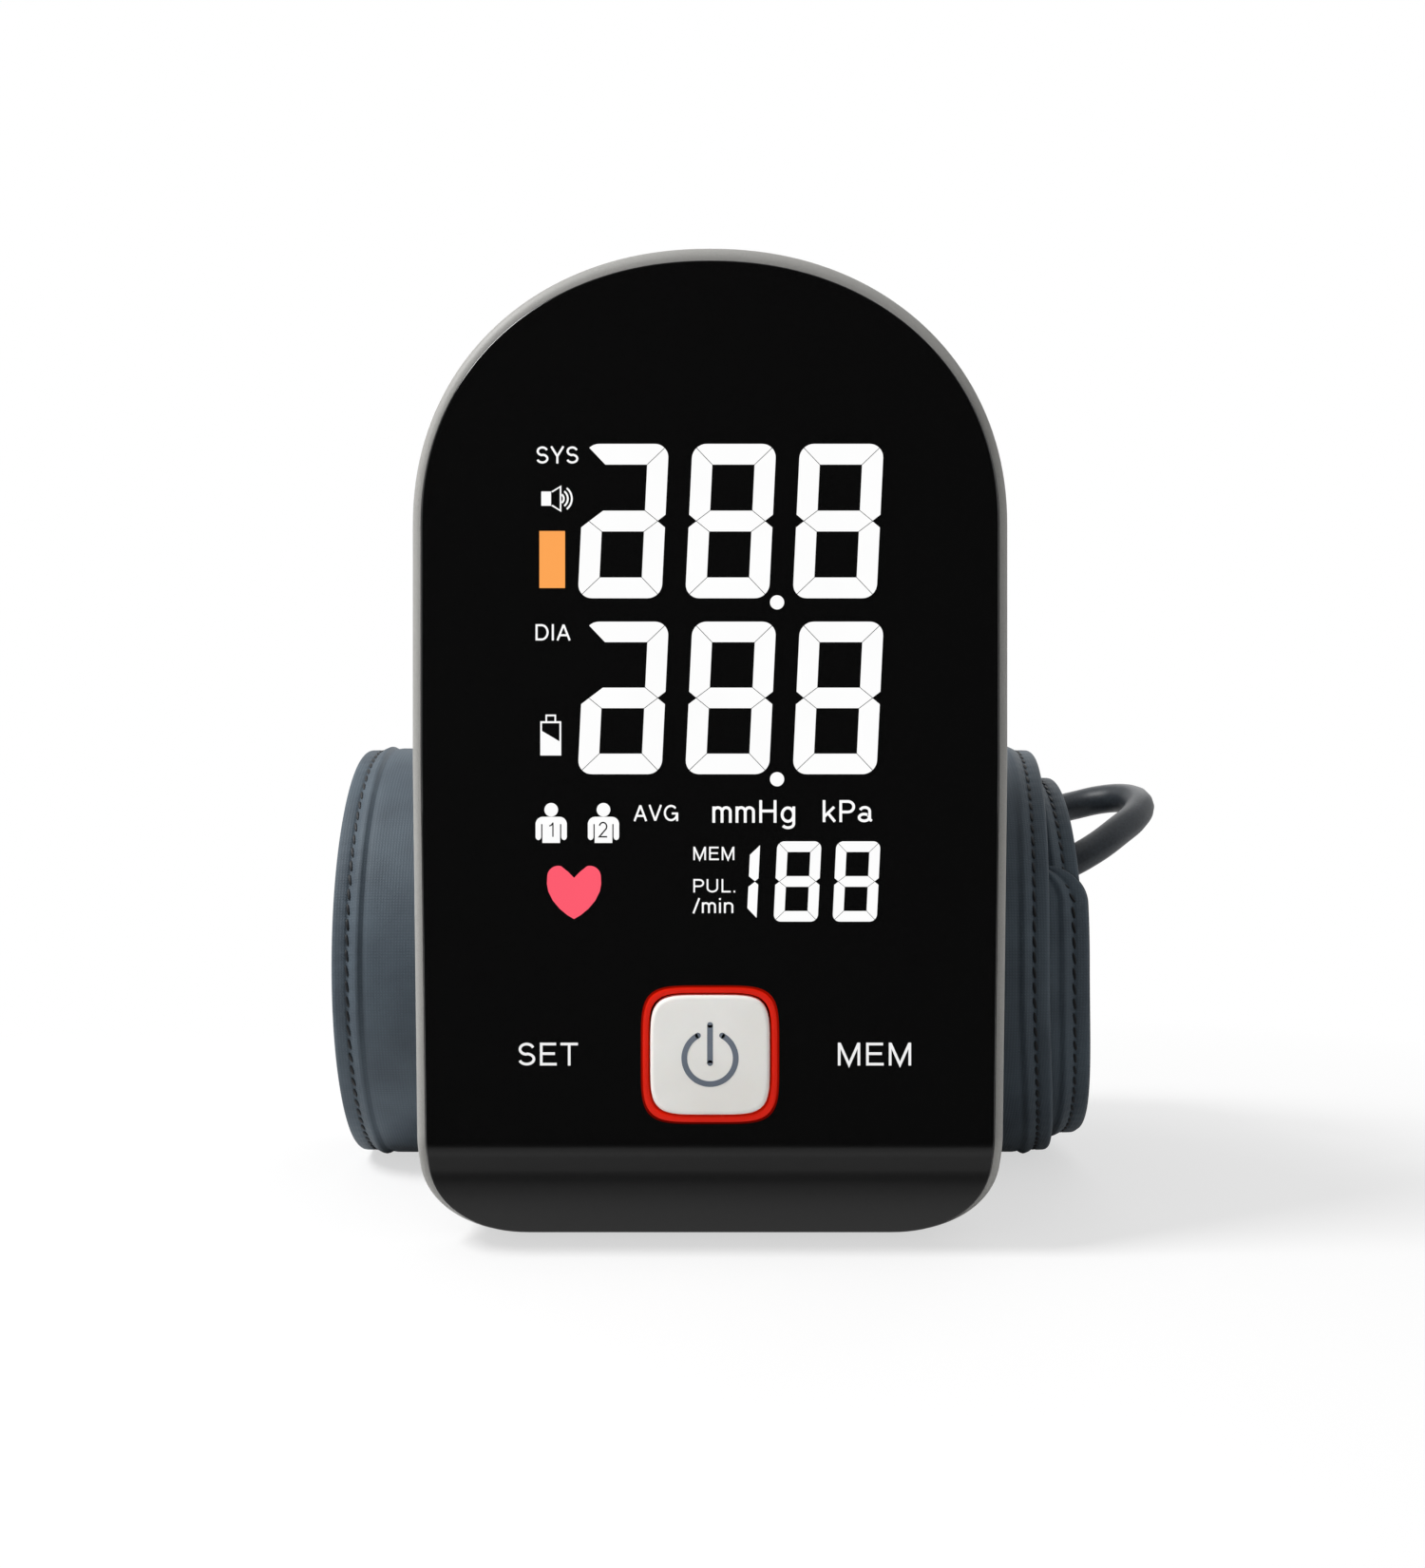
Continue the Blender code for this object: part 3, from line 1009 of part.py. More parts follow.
def hose():
    """The port welded to the bladder, the free hose, and the tied hank inside the roll."""
    port_top = HOLLOW_RADIUS - CLEARANCE - 0.5 * MM
    axis = HOLLOW_RADIUS - 2.0 * MM - HOSE_RADIUS
    _, y, z = on_roll(90, axis, 0)
    port = turned("cuff_hose_port", ((0, 0), (HOSE_PORT_FLANGE, 0), (HOSE_PORT_FLANGE, 1.0 * MM),
                                     (4.0 * MM, 2.0 * MM),
                                     (3.2 * MM, 6.0 * MM), (0, 6.0 * MM)),
                  (HOSE_PORT_X, CUFF_Y, CUFF_Z + port_top), (0, 0, -1), HOSE_RUBBER, 20)
    add(port, rod("port_nipple", (HOSE_PORT_X, y, z), (HOSE_BEND[0][0] * MM - CLEARANCE, y, z),
                  2.4 * MM, HOSE_RUBBER, 16))
    tie_reach = HANK_HALF_WIDTH + CLEARANCE + TIE_THICK
    tie_low = CUFF_Z - math.sqrt(HOLLOW_RADIUS ** 2 - tie_reach ** 2) + 2 * CLEARANCE
    hank_low = tie_low + TIE_THICK + CLEARANCE
    route = [(x * MM, y + back * MM, z + up * MM) for x, back, up in HOSE_BEND]
    _, bend_y, bend_z = route[-1]
    end_y = CUFF_Y - HANK_HALF_WIDTH + HOSE_RADIUS
    end_z = hank_low + HANK_HEIGHT + CLEARANCE + HOSE_RADIUS
    for x, back, down in HOSE_FALL:
        route.append((x * MM, bend_y + (end_y - bend_y) * back, bend_z + (end_z - bend_z) * down))
    tube("hose_tube", smooth_route(route, HOSE_POINT_SPACING), HOSE_RADIUS, HOSE_RUBBER, 3)
    outer = HANK_HALF_WIDTH
    shape = []
    for end, first in ((HANK_RIGHT_X - outer, -90), (HANK_LEFT_X + outer, 90)):
        for k in range(9):
            turn = math.radians(first + 22.5 * k)
            shape.append((end + outer * math.cos(turn), CUFF_Y + outer * math.sin(turn)))
    rings = [[(x, depth, height) for x, depth in shape] for height in (hank_low,
            hank_low + HANK_HEIGHT)]
    loft("hose_hank", rings, HOSE_RUBBER, "plain")
    hank_tie(hank_low)
    plug_z = hank_low + HANK_HEIGHT - HOSE_RADIUS
    tip = SOCKET_BORE - CLEARANCE
    turned("hose_plug", ((0, 0), (0.7 * PLUG_RADIUS, 0), (PLUG_RADIUS, 3.0 * MM), (PLUG_RADIUS,
            12.0 * MM), (tip, 12.0 * MM),
                         (tip, PLUG_LENGTH), (0, PLUG_LENGTH)),
           (HANK_RIGHT_X + CLEARANCE, CUFF_Y, plug_z), (1, 0, 0), DARK_ABS, 20)


def hank_tie(hank_low):
    """A band round the middle of the hank."""
    half, gap, wall = TIE_HALF_WIDTH, CLEARANCE, TIE_THICK
    sizes = ((HANK_HALF_WIDTH + gap, gap), (HANK_HALF_WIDTH + gap + wall, gap + wall))
    rows = []
    for x, (wide, over) in ((-half, sizes[0]), (-half, sizes[1]), (half, sizes[1]), (half, sizes[0])):
        low, high = hank_low - over, hank_low + HANK_HEIGHT + over
        rows.append([(x, CUFF_Y - wide, low), (x, CUFF_Y + wide, low), (x, CUFF_Y + wide, high),
                     (x, CUFF_Y - wide, high)])
    loft("hose_tie", rows, RUBBER, "joined")


def build():
    for old in list(bpy.data.objects):
        bpy.data.objects.remove(old, do_unlink=True)
    front_panel()
    front_housing()
    rear_housing()
    battery_cover()
    base_pad()
    power_button()
    display()
    touch_springs()
    batteries()
    housing_screws()
    air_pump()
    air_parts()
    usb_jack()
    speaker()
    cuff()
    hose()


build()
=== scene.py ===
# %% [markdown]
# # Upper arm blood pressure monitor with its rolled cuff
# The fixed frame is the CAD model: every piece made here takes its place from it. The frame is loaded
# first.

# %% Load the frame
import math

import bmesh
import bpy
from mathutils import Matrix, Vector


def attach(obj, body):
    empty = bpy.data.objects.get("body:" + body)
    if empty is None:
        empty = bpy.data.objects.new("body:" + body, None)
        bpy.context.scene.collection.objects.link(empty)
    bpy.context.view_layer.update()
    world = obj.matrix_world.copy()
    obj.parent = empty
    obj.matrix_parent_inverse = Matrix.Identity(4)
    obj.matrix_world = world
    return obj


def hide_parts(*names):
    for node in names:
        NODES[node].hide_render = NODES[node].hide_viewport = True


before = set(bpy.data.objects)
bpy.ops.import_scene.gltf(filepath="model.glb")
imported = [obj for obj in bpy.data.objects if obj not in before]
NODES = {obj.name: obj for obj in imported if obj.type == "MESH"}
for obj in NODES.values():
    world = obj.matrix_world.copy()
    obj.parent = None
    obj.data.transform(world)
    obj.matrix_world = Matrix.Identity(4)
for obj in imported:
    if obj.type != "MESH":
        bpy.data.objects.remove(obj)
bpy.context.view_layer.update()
MM = 0.001

# %% [markdown]
# ## Camera
# A camera level with the middle of the display keeps the upright sides parallel. It stands close, so the
# parts behind the front shrink a little, as they do to the eye at arm's length.

# %% Camera
bpy.ops.object.select_all(action="DESELECT")
camera_data = bpy.data.cameras.new("front_camera")
camera_data.lens, camera_data.sensor_width = 43.2, 36.0
camera_data.clip_start = 0.01
camera = bpy.data.objects.new("front_camera", camera_data)
bpy.context.scene.collection.objects.link(camera)
camera.location = (0.0004, -0.334, 0.0765)
camera.rotation_euler = (math.pi / 2, 0, 0)
bpy.context.scene.camera = camera
print("camera", tuple(camera.location))

# %% [markdown]
# ## Nodes and colours
# Colours are written as they look on a screen, and one function turns them into the linear values that
# the shader needs. One small function adds a node with its settings and links.

# %% Colour and node helpers
def paint(code):
    """An sRGB hex colour as a linear one with alpha."""
    parts = [int(code[i:i + 2], 16) / 255 for i in (1, 3, 5)]
    return (*[v / 12.92 if v <= 0.04045 else ((v + 0.055) / 1.055) ** 2.4 for v in parts], 1.0)


def add_node(tree, kind, settings=(), inputs=()):
    """A node with its settings; an input is joined to a socket, or set to a value."""
    node = tree.nodes.new(kind)
    for key, value in dict(settings).items():
        setattr(node, key, value)
    for key, value in dict(inputs).items():
        if isinstance(value, bpy.types.NodeSocket):
            tree.links.new(value, node.inputs[key])
        else:
            node.inputs[key].default_value = value
    return node


def start_material(name, colour, roughness, metallic=0.0, **sockets):
    """A material whose uniform values are set on the shader itself."""
    skin = bpy.data.materials.new(name)
    skin.use_nodes = True
    shader = skin.node_tree.nodes["Principled BSDF"]
    shader.inputs["Base Color"].default_value = paint(colour)
    shader.inputs["Roughness"].default_value = roughness
    shader.inputs["Metallic"].default_value = metallic
    for key, value in sockets.items():
        shader.inputs[key.replace("_", " ")].default_value = value
    return skin, skin.node_tree, shader


def colour_by(tree, shader, height, colours, places=(0.35, 0.65)):
    """Colour the surface between two or more tones, by a pattern's value."""
    ramp = add_node(tree, "ShaderNodeValToRGB", inputs={"Fac": height})
    while len(ramp.color_ramp.elements) < len(colours):
        ramp.color_ramp.elements.new(0.5)
    for stop, place, colour in zip(ramp.color_ramp.elements, places, colours):
        stop.position, stop.color = place, paint(colour)
    tree.links.new(ramp.outputs["Color"], shader.inputs["Base Color"])


def pattern(tree, kind, scale, settings=(), space="Object", **inputs):
    """A texture in the piece's own coordinates; scale is in repeats per metre."""
    place = add_node(tree, "ShaderNodeTexCoord").outputs[space]
    return add_node(tree, "ShaderNodeTex" + kind, settings, {"Vector": place, "Scale": scale, **inputs})


def bump_by(tree, shader, height, depth, strength=1.0):
    """Raise and sink the surface by a pattern's value; depth is in metres."""
    bump = add_node(tree, "ShaderNodeBump",
                    inputs={"Height": height, "Distance": depth, "Strength": strength})
    tree.links.new(bump.outputs["Normal"], shader.inputs["Normal"])


print("helpers ready")

# %% [markdown]
# ## Plastics
# Injection-moulded ABS and its relatives: the mould's spark-eroded texture gives a fine grain, and thick
# and thin places reflect unevenly. A noise pattern in real millimetres gives both.

# %% Moulded plastics
def moulded(name, colour, shade, roughness, grain_mm, grain_depth_mm, **sockets):
    """A moulded plastic with a soft unevenness of tone and the grain of its mould."""
    skin, tree, shader = start_material(name, colour, roughness, **sockets)
    cloudy = pattern(tree, "Noise", 60.0, Detail=2.0)
    colour_by(tree, shader, cloudy.outputs["Fac"], (colour, shade))
    grain = pattern(tree, "Noise", 1 / (grain_mm * MM), Detail=3.0)
    bump_by(tree, shader, grain.outputs["Fac"], grain_depth_mm * MM)
    return skin


# spark-eroded ABS: a matt charcoal casing with a fine even grain
casing_abs = moulded("spark_eroded_ABS", "#232427", "#1c1d20", 0.48, 0.35, 0.035)
# polished white ABS: a warm off-white cap with hardly any grain
cap_abs = moulded("polished_white_ABS", "#e9e8e4", "#e3e1dc", 0.3, 0.8, 0.004, Subsurface_Weight=0.05,
                  Subsurface_Scale=0.001)
# matt white ABS of the light guide and the valve
guide_abs = moulded("matt_white_ABS", "#dcdad4", "#cfcdc6", 0.5, 0.4, 0.02)
# nylon with glass fibre of the pump head and connectors
filled_nylon = moulded("glass_filled_nylon", "#2a2b2d", "#1f2022", 0.55, 0.25, 0.03)
# thermoplastic rubber of the pad, the tie and the port: dull, and slightly dusty in tone
pad_rubber = moulded("thermoplastic_rubber", "#2c2d2f", "#232426", 0.78, 0.3, 0.03)
# red polycarbonate of the light ring, lit from behind
ring_lens = moulded("red_polycarbonate", "#bc1400", "#ac1200", 0.38, 0.6, 0.004,
                    Emission_Color=paint("#d81800"), Emission_Strength=0.30, Specular_IOR_Level=0.2)
# soft PVC air tube: milky and half clear
tube_pvc = moulded("milky_soft_PVC", "#c9ccca", "#b9bdbb", 0.28, 1.5, 0.01, Subsurface_Weight=0.3,
                   Subsurface_Scale=0.002)
# TPU film of the air bladder
bladder_film = moulded("TPU_film", "#3b4248", "#31383e", 0.4, 2.0, 0.05)
print("plastics made")

# %% [markdown]
# ## Gloss lens, painted rim and hose
# The lens is black-backed acrylic: nearly all its light is a mirror image of the room. The rim is ABS with
# a satin metallic paint whose flakes sparkle a little. The hose is soft PVC with a dull skin.

# %% Lens, rim and hose
lens_acrylic, tree, shader = start_material("black_backed_acrylic", "#0a0a0a", 0.045, IOR=1.49)
smears = pattern(tree, "Noise", 45.0, Detail=3.0)
dull = add_node(tree, "ShaderNodeMapRange", inputs={"Value": smears.outputs["Fac"], "From Min": 0.4,
                                                    "From Max": 0.8, "To Min": 0.035, "To Max": 0.085})
tree.links.new(dull.outputs["Result"], shader.inputs["Roughness"])

rim_paint, tree, shader = start_material("satin_metallic_paint", "#9a9a97", 0.5, Specular_IOR_Level=0.3)
flake = pattern(tree, "Voronoi", 1 / (0.12 * MM))
colour_by(tree, shader, flake.outputs["Distance"], ("#a09f9c", "#908f8c"), (0.1, 0.7))
bump_by(tree, shader, flake.outputs["Distance"], 0.004 * MM)

hose_pvc, tree, shader = start_material("dull_soft_PVC", "#2a3036", 0.46, Sheen_Weight=0.05)
skin_grain = pattern(tree, "Noise", 1 / (0.5 * MM), Detail=4.0)
colour_by(tree, shader, skin_grain.outputs["Fac"], ("#262b31", "#2f363d"))
bump_by(tree, shader, skin_grain.outputs["Fac"], 0.02 * MM)
print("lens, rim and hose finishes made")

# %% [markdown]
# ## Metals, battery skins and boards
# Metals keep the default IOR. Drawn steel shows fine lines along its length, brass is turned, and a
# battery wears a printed film with a bare metal end. A circuit board shows copper tracks under its green
# lacquer.

# %% Metals, batteries and boards
def drawn_metal(name, colour, shade, roughness, line_mm, squeeze):
    """A metal with fine lines; squeeze is each axis's share of the pattern's density."""
    skin, tree, shader = start_material(name, colour, roughness, 1.0)
    place = add_node(tree, "ShaderNodeTexCoord").outputs["Object"]
    squeezed = add_node(tree, "ShaderNodeMapping", inputs={"Vector": place, "Scale": squeeze})
    lines = add_node(tree, "ShaderNodeTexNoise", inputs={"Vector": squeezed.outputs["Vector"],
                                                         "Scale": 1 / (line_mm * MM), "Detail": 2.0})
    colour_by(tree, shader, lines.outputs["Fac"], (colour, shade))
    bump_by(tree, shader, lines.outputs["Fac"], 0.006 * MM)
    return skin


zinc_steel = drawn_metal("zinc_plated_steel", "#c3c4c6", "#a9abae", 0.3, 0.3, (0.1, 1.0, 1.0))
spring_steel = drawn_metal("nickel_plated_spring_steel", "#d2d0cb", "#b7b5b0", 0.22, 0.2, (1.0, 1.0, 0.2))
turned_brass = drawn_metal("turned_brass", "#c9a45a", "#b08c45", 0.28, 0.15, (1.0, 0.15, 0.15))

cell_film, tree, shader = start_material("printed_battery_film", "#23324a", 0.25, 0.3)
place = add_node(tree, "ShaderNodeTexCoord").outputs["Object"]
height = add_node(tree, "ShaderNodeSeparateXYZ", inputs={"Vector": place}).outputs["Z"]
band = add_node(tree, "ShaderNodeMapRange", inputs={"Value": height, "From Min": 0.090, "From Max": 0.134})
colour_by(tree, shader, band.outputs["Result"], ("#b9bbbd", "#27364d", "#1f2c40", "#b88a4a"),
          (0.03, 0.06, 0.7, 0.72))

board_lacquer, tree, shader = start_material("green_solder_mask_on_FR4", "#12502f", 0.32)
tracks = pattern(tree, "Voronoi", 1 / (4.0 * MM), {"feature": "DISTANCE_TO_EDGE"})
colour_by(tree, shader, tracks.outputs["Distance"], ("#2c7a4a", "#0f472a"), (0.03, 0.05))
bump_by(tree, shader, tracks.outputs["Distance"], 0.03 * MM)
print("metals, films and boards made")

# %% [markdown]
# ## Cloth
# The cuff is woven nylon. Its pattern follows the cloth, so it reads the piece's own UV map, whose units
# are metres along and across the strip. Real threads are 0.3 mm apart; here they are drawn 0.55 mm apart
# so that they show.

# %% Woven nylon and tape
WAVE_SCALE = 0.314  # the wave texture repeats once in this distance at a scale of 1


def woven(name, colour, shade, thread_mm, depth_mm, roughness, sheen):
    """Plain weave from two sets of threads, with a slow unevenness of the dye."""
    skin, tree, shader = start_material(name, colour, roughness, Sheen_Weight=sheen, Sheen_Roughness=0.4)
    per_thread = WAVE_SCALE / (thread_mm * MM)
    warp, weft = (pattern(tree, "Wave", per_thread, {"bands_direction": way}, "UV") for way in "XY")
    both = add_node(tree, "ShaderNodeMath", {"operation": "MULTIPLY"},
                    {0: warp.outputs["Fac"], 1: weft.outputs["Fac"]})
    dye = pattern(tree, "Noise", 90.0, space="UV", Detail=5.0)
    mixed = add_node(tree, "ShaderNodeMath", {"operation": "MULTIPLY_ADD"},
                     {0: both.outputs[0], 1: 0.25, 2: dye.outputs["Fac"]})
    colour_by(tree, shader, mixed.outputs[0], (shade, colour), (0.35, 0.8))
    bump_by(tree, shader, both.outputs[0], depth_mm * MM, 0.8)
    return skin


cuff_nylon = woven("woven_nylon", "#4a5761", "#3b4650", 0.55, 0.05, 0.68, 0.12)
lining_nylon = woven("brushed_nylon_lining", "#414c55", "#353f47", 0.8, 0.03, 0.8, 0.3)
loop_tape = woven("looped_tape", "#3a434b", "#2c343b", 0.9, 0.2, 0.9, 0.5)
hook_tape = woven("hooked_tape", "#2a2d31", "#1f2226", 1.2, 0.35, 0.6, 0.1)
# bonded polyester sewing thread, darker than the cloth
sewing_thread = moulded("polyester_thread", "#0f1216", "#191d22", 0.6, 0.2, 0.05)
print("cloths made")

# %% [markdown]
# ## Inks and lit windows
# The digits and signs are clear windows in the black print behind the lens, with white light behind them.
# They are thin shapes just in front of the lens, and give off their own light.

# %% Lit windows
def lit(name, colour, strength=1.0):
    """A window lit from behind: it gives off its own colour and reflects little."""
    skin, tree, shader = start_material(name, "#000000", 0.4, Emission_Strength=strength)
    patchy = pattern(tree, "Noise", 120.0)
    ramp = add_node(tree, "ShaderNodeValToRGB", inputs={"Fac": patchy.outputs["Fac"]})
    ramp.color_ramp.elements[0].color = tuple(0.96 * v for v in paint(colour)[:3]) + (1.0,)
    ramp.color_ramp.elements[1].color = paint(colour)
    tree.links.new(ramp.outputs["Color"], shader.inputs["Emission Color"])
    return skin


white_light = lit("white_LED_window", "#ffffff")
label_light = lit("white_label_window", "#f2f2f2")
amber_light = lit("amber_LED_window", "#ffa755")
heart_light = lit("rose_LED_window", "#ff5c70")
ink_black = moulded("black_screen_ink", "#0b0b0b", "#080808", 0.5, 0.3, 0.002)
mark_ink = moulded("slate_pad_print", "#6b7481", "#636c79", 0.45, 0.3, 0.002)
print("windows made")

# %% [markdown]
# ## Modelling by rows
# Most shells here are rings of corners that change from row to row. A circle is added, its corners are
# set out along the first row, and its edge is extruded once for each further row. This keeps the outline
# exact, where a bevelled box would not.

# %% Pick, draw and finish
def clear_pick():
    """Leave nothing selected, so that the next operator acts on new things only."""
    if bpy.context.object and bpy.context.object.mode != "OBJECT":
        bpy.ops.object.mode_set(mode="OBJECT")
    bpy.ops.object.select_all(action="DESELECT")


def add_object(name, data):
    """A new object in the scene from a mesh, a curve or a lamp."""
    thing = bpy.data.objects.new(name, data)
    bpy.context.scene.collection.objects.link(thing)
    return thing


def add_mesh(name, corners, faces):
    """A new mesh object from corners in metres and the faces between them."""
    mesh = bpy.data.meshes.new(name)
    mesh.from_pydata(corners, [], faces)
    return add_object(name, mesh)


def draw_rows(name, rows, joined=False, caps=(None, None)):
    """Extrude a ring of corners through the rows; caps are "face", "ladder" or None."""
    clear_pick()
    bpy.ops.mesh.primitive_circle_add(vertices=len(rows[0]), radius=1.0, fill_type="NOTHING")
    thing = bpy.context.object
    thing.name = thing.data.name = name
    bpy.ops.object.mode_set(mode="EDIT")
    bpy.ops.mesh.select_all(action="SELECT")
    shape = bmesh.from_edit_mesh(thing.data)
    number = shape.verts.layers.int.new("number_in_row")
    shape.verts.ensure_lookup_table()
    for i, place in enumerate(rows[0]):
        shape.verts[i].co = place
        shape.verts[i][number] = i
    bmesh.update_edit_mesh(thing.data)
    for row in rows[1:]:
        bpy.ops.mesh.extrude_region_move()
        shape = bmesh.from_edit_mesh(thing.data)
        number = shape.verts.layers.int["number_in_row"]
        for corner in shape.verts:
            if corner.select:
                corner.co = row[corner[number]]
        bmesh.update_edit_mesh(thing.data)
    shape = bmesh.from_edit_mesh(thing.data)
    number = shape.verts.layers.int["number_in_row"]
    last = sorted((corner for corner in shape.verts if corner.select), key=lambda corner: corner[number])
    first = sorted((corner for corner in shape.verts if len(corner.link_edges) == 3 and not corner.select),
                   key=lambda corner: corner[number])
    for ring, cap in ((first, caps[0]), (last, caps[1])):
        if cap == "face":
            shape.faces.new(ring)
        elif cap == "ladder":
            for i in range(len(ring) // 2):
                rung = list(dict.fromkeys([ring[i], ring[i + 1], ring[-2 - i], ring[-1 - i]]))
                if len(rung) > 2:
                    shape.faces.new(rung)
    if joined:
        for i in range(len(first)):
            j = (i + 1) % len(first)
            shape.faces.new((first[i], first[j], last[j], last[i]))
    shape.verts.layers.int.remove(number)
    bmesh.update_edit_mesh(thing.data)
    bpy.ops.mesh.select_all(action="SELECT")
    bpy.ops.mesh.normals_make_consistent(inside=False)
    bpy.ops.object.mode_set(mode="OBJECT")
    return thing


def finish_piece(thing, skin, body, smooth=30, weighted=False):
    """Shade, colour and place the piece on its body."""
    clear_pick()
    thing.select_set(True)
    bpy.context.view_layer.objects.active = thing
    bpy.ops.object.transform_apply(location=True, rotation=True, scale=True)
    bpy.ops.object.shade_smooth_by_angle(angle=math.radians(smooth))
    if weighted:
        step = thing.modifiers.new("even_shading", "WEIGHTED_NORMAL")
        step.keep_sharp = True
        bpy.ops.object.modifier_apply(modifier=step.name)
    thing.data.materials.clear()
    thing.data.materials.append(skin)
    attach(thing, body)
    clear_pick()
    print(thing.name, len(thing.data.vertices), "corners")
    return thing


def cut_away(thing, tool):
    """Cut the tool out of the thing and remove the tool."""
    clear_pick()
    step = thing.modifiers.new("cut", "BOOLEAN")
    step.operation, step.object, step.solver = "DIFFERENCE", tool, "EXACT"
    bpy.context.view_layer.objects.active = thing
    thing.select_set(True)
    bpy.ops.object.modifier_apply(modifier=step.name)
    bpy.data.objects.remove(tool, do_unlink=True)

# %% [markdown]
# ## The casing's outline
# The front view is a power curve: an arch over nearly straight sides with rounded lower corners. The
# lower front leans back, with a soft crease. The same sizes as the CAD's give both in finer steps.

# %% Outline, crease and button shape
HALF_WIDTH, ARCH_Z, ARCH_UP, ARCH_POWER = 48.0, 118.5, 44.8, 2.12
TAPER, TAPER_Z, FOOT_Z = 0.8, 80.0, 0.5
CORNER_IN, CORNER_UP, CORNER_POWER = 17.0, 14.0, 2.2
FRONT_Y, CREASE_Z, CREASE_SOFT, LEAN_RATE = -31.0, 17.8, 1.6, 13.0 / 17.3
BUTTON_Z = 32.9
# heights of the corners up each side; the first ten lie close together round the crease
SIDE_HEIGHTS = (15.2, 15.8, 16.3, 16.8, 17.3, 17.8, 18.3, 18.8, 19.3, 19.8,
                23.0, 35.0, 50.0, 65.0, 80.0, 100.0)


def side_x(z):
    """Half the casing's width below the arch."""
    share = (TAPER_Z - z) / (TAPER_Z - FOOT_Z - CORNER_UP)
    return HALF_WIDTH - TAPER * min(max(share, 0.0), 1.0)


def lean(z):
    """How far the front is set back at a height."""
    below = CREASE_Z - z
    if below <= -CREASE_SOFT:
        return 0.0
    if below < CREASE_SOFT:
        return LEAN_RATE * (below + CREASE_SOFT) ** 2 / (4 * CREASE_SOFT)
    return LEAN_RATE * below


def casing_row(side, top, bottom, depth, leans=1.0):
    """A ring round the casing, drawn in by the insets and set back by the depth, in metres."""
    right = []
    for i in range(21):
        turn = math.pi / 2 * i / 20
        across = math.sin(turn) ** (2 / CORNER_POWER)
        down = max(math.cos(turn), 0.0) ** (2 / CORNER_POWER)
        right.append((HALF_WIDTH - TAPER - CORNER_IN + (CORNER_IN - side) * across,
                      FOOT_Z + CORNER_UP - (CORNER_UP - bottom) * down))
    for z in SIDE_HEIGHTS:
        right.append((side_x(z) - side, z))
    for i in range(45):
        turn = math.pi / 2 * i / 44
        across = max(math.cos(turn), 0.0) ** (2 / ARCH_POWER) if i < 44 else 0.0
        up = math.sin(turn) ** (2 / ARCH_POWER)
        right.append(((HALF_WIDTH - side) * across, ARCH_Z + (ARCH_UP - top) * up))
    ring = right + [(-x, z) for x, z in reversed(right[:-1])]
    return [(x * MM, (FRONT_Y + depth + leans * lean(z)) * MM, z * MM) for x, z in ring]


def square_row(half, y, power=5.0, steps=96):
    """A ring of a square with round corners and slightly bulging sides, round the button."""
    ring = []
    for i in range(steps):
        turn = 2 * math.pi * (i + 0.5) / steps
        across, up = math.cos(turn), math.sin(turn)
        reach = half / (abs(across) ** power + abs(up) ** power) ** (1 / power)
        ring.append((reach * across * MM, y * MM, (BUTTON_Z + reach * up) * MM))
    return ring


print("corners in a casing row", len(casing_row(0, 0, 0, 0)))

# %% [markdown]
# ## Front lens
# The lens has a small rounded edge that catches a thin line of light. Its rows go from the back edge to
# the front face, and a squircle hole is cut for the button.

# %% Front lens
LENS_IN = (1.45, 2.4, 0.8)
EDGE_ROUND = 0.3
rows = [casing_row(*LENS_IN, 3.0), casing_row(*LENS_IN, 1.4), casing_row(*LENS_IN, EDGE_ROUND)]
for k in range(1, 6):
    turn = math.pi / 2 * k / 5
    inset = EDGE_ROUND * (1 - math.cos(turn))
    rows.append(casing_row(*[v + inset for v in LENS_IN], EDGE_ROUND * (1 - math.sin(turn))))
rows.append(casing_row(*[v + EDGE_ROUND + 0.25 for v in LENS_IN], 0.0))
lens = draw_rows("front_lens", rows, caps=("ladder", "ladder"))
hole = draw_rows("button_hole", [square_row(11.15, -40.0), square_row(11.15, -20.0)], caps=("face", "face"))
cut_away(lens, hole)
finish_piece(lens, lens_acrylic, "monitor", smooth=28, weighted=True)
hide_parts("front_panel")

# %% [markdown]
# ## Painted rim
# The rim is the front half of the casing. It shows as a thin satin band round the lens, flares by half a
# millimetre, and runs back to the seam. A joined ring of rows gives its wall and the ledge under the lens.

# %% Painted rim
RIM_FACE, FLARE = 2.2, 0.5
SIDE, TOP, BOTTOM = (v - 0.3 for v in LENS_IN)
rows = [casing_row(SIDE, TOP, BOTTOM, 3.3), casing_row(SIDE, TOP, BOTTOM, RIM_FACE + 0.35)]
for k in range(8):
    turn = math.pi / 2 * k / 7
    share = 1 - math.sin(turn)
    back = 1.6 * (1 - math.cos(turn))
    inner = 0.02 + 0.9 * share
    rows.append(casing_row((SIDE + FLARE) * inner - FLARE, (TOP + FLARE) * inner - FLARE,
                           BOTTOM * (0.02 + 0.86 * share), RIM_FACE + back))
rows.append(casing_row(-FLARE, -FLARE, 0.0, 6.0, 0.88))
rows.append(casing_row(-FLARE / 2, -FLARE / 2, 0.0, 9.5, 0.75))
rows.append(casing_row(0.1, 0.1, 0.0, 12.6, 0.62))
rows.append(casing_row(0.5, 0.5, 0.3, 13.0, 0.6))
rows.append(casing_row(1.7, 1.7, 1.7, 13.0, 0.6))
rows.append(casing_row(1.7, 1.7, 1.7, 5.3))
rows.append(casing_row(SIDE + 4.5, TOP + 4.5, BOTTOM + 4.5, 5.3))
rows.append(casing_row(SIDE + 4.5, TOP + 4.5, BOTTOM + 4.5, 3.3))
rim = draw_rows("front_rim", rows, joined=True)
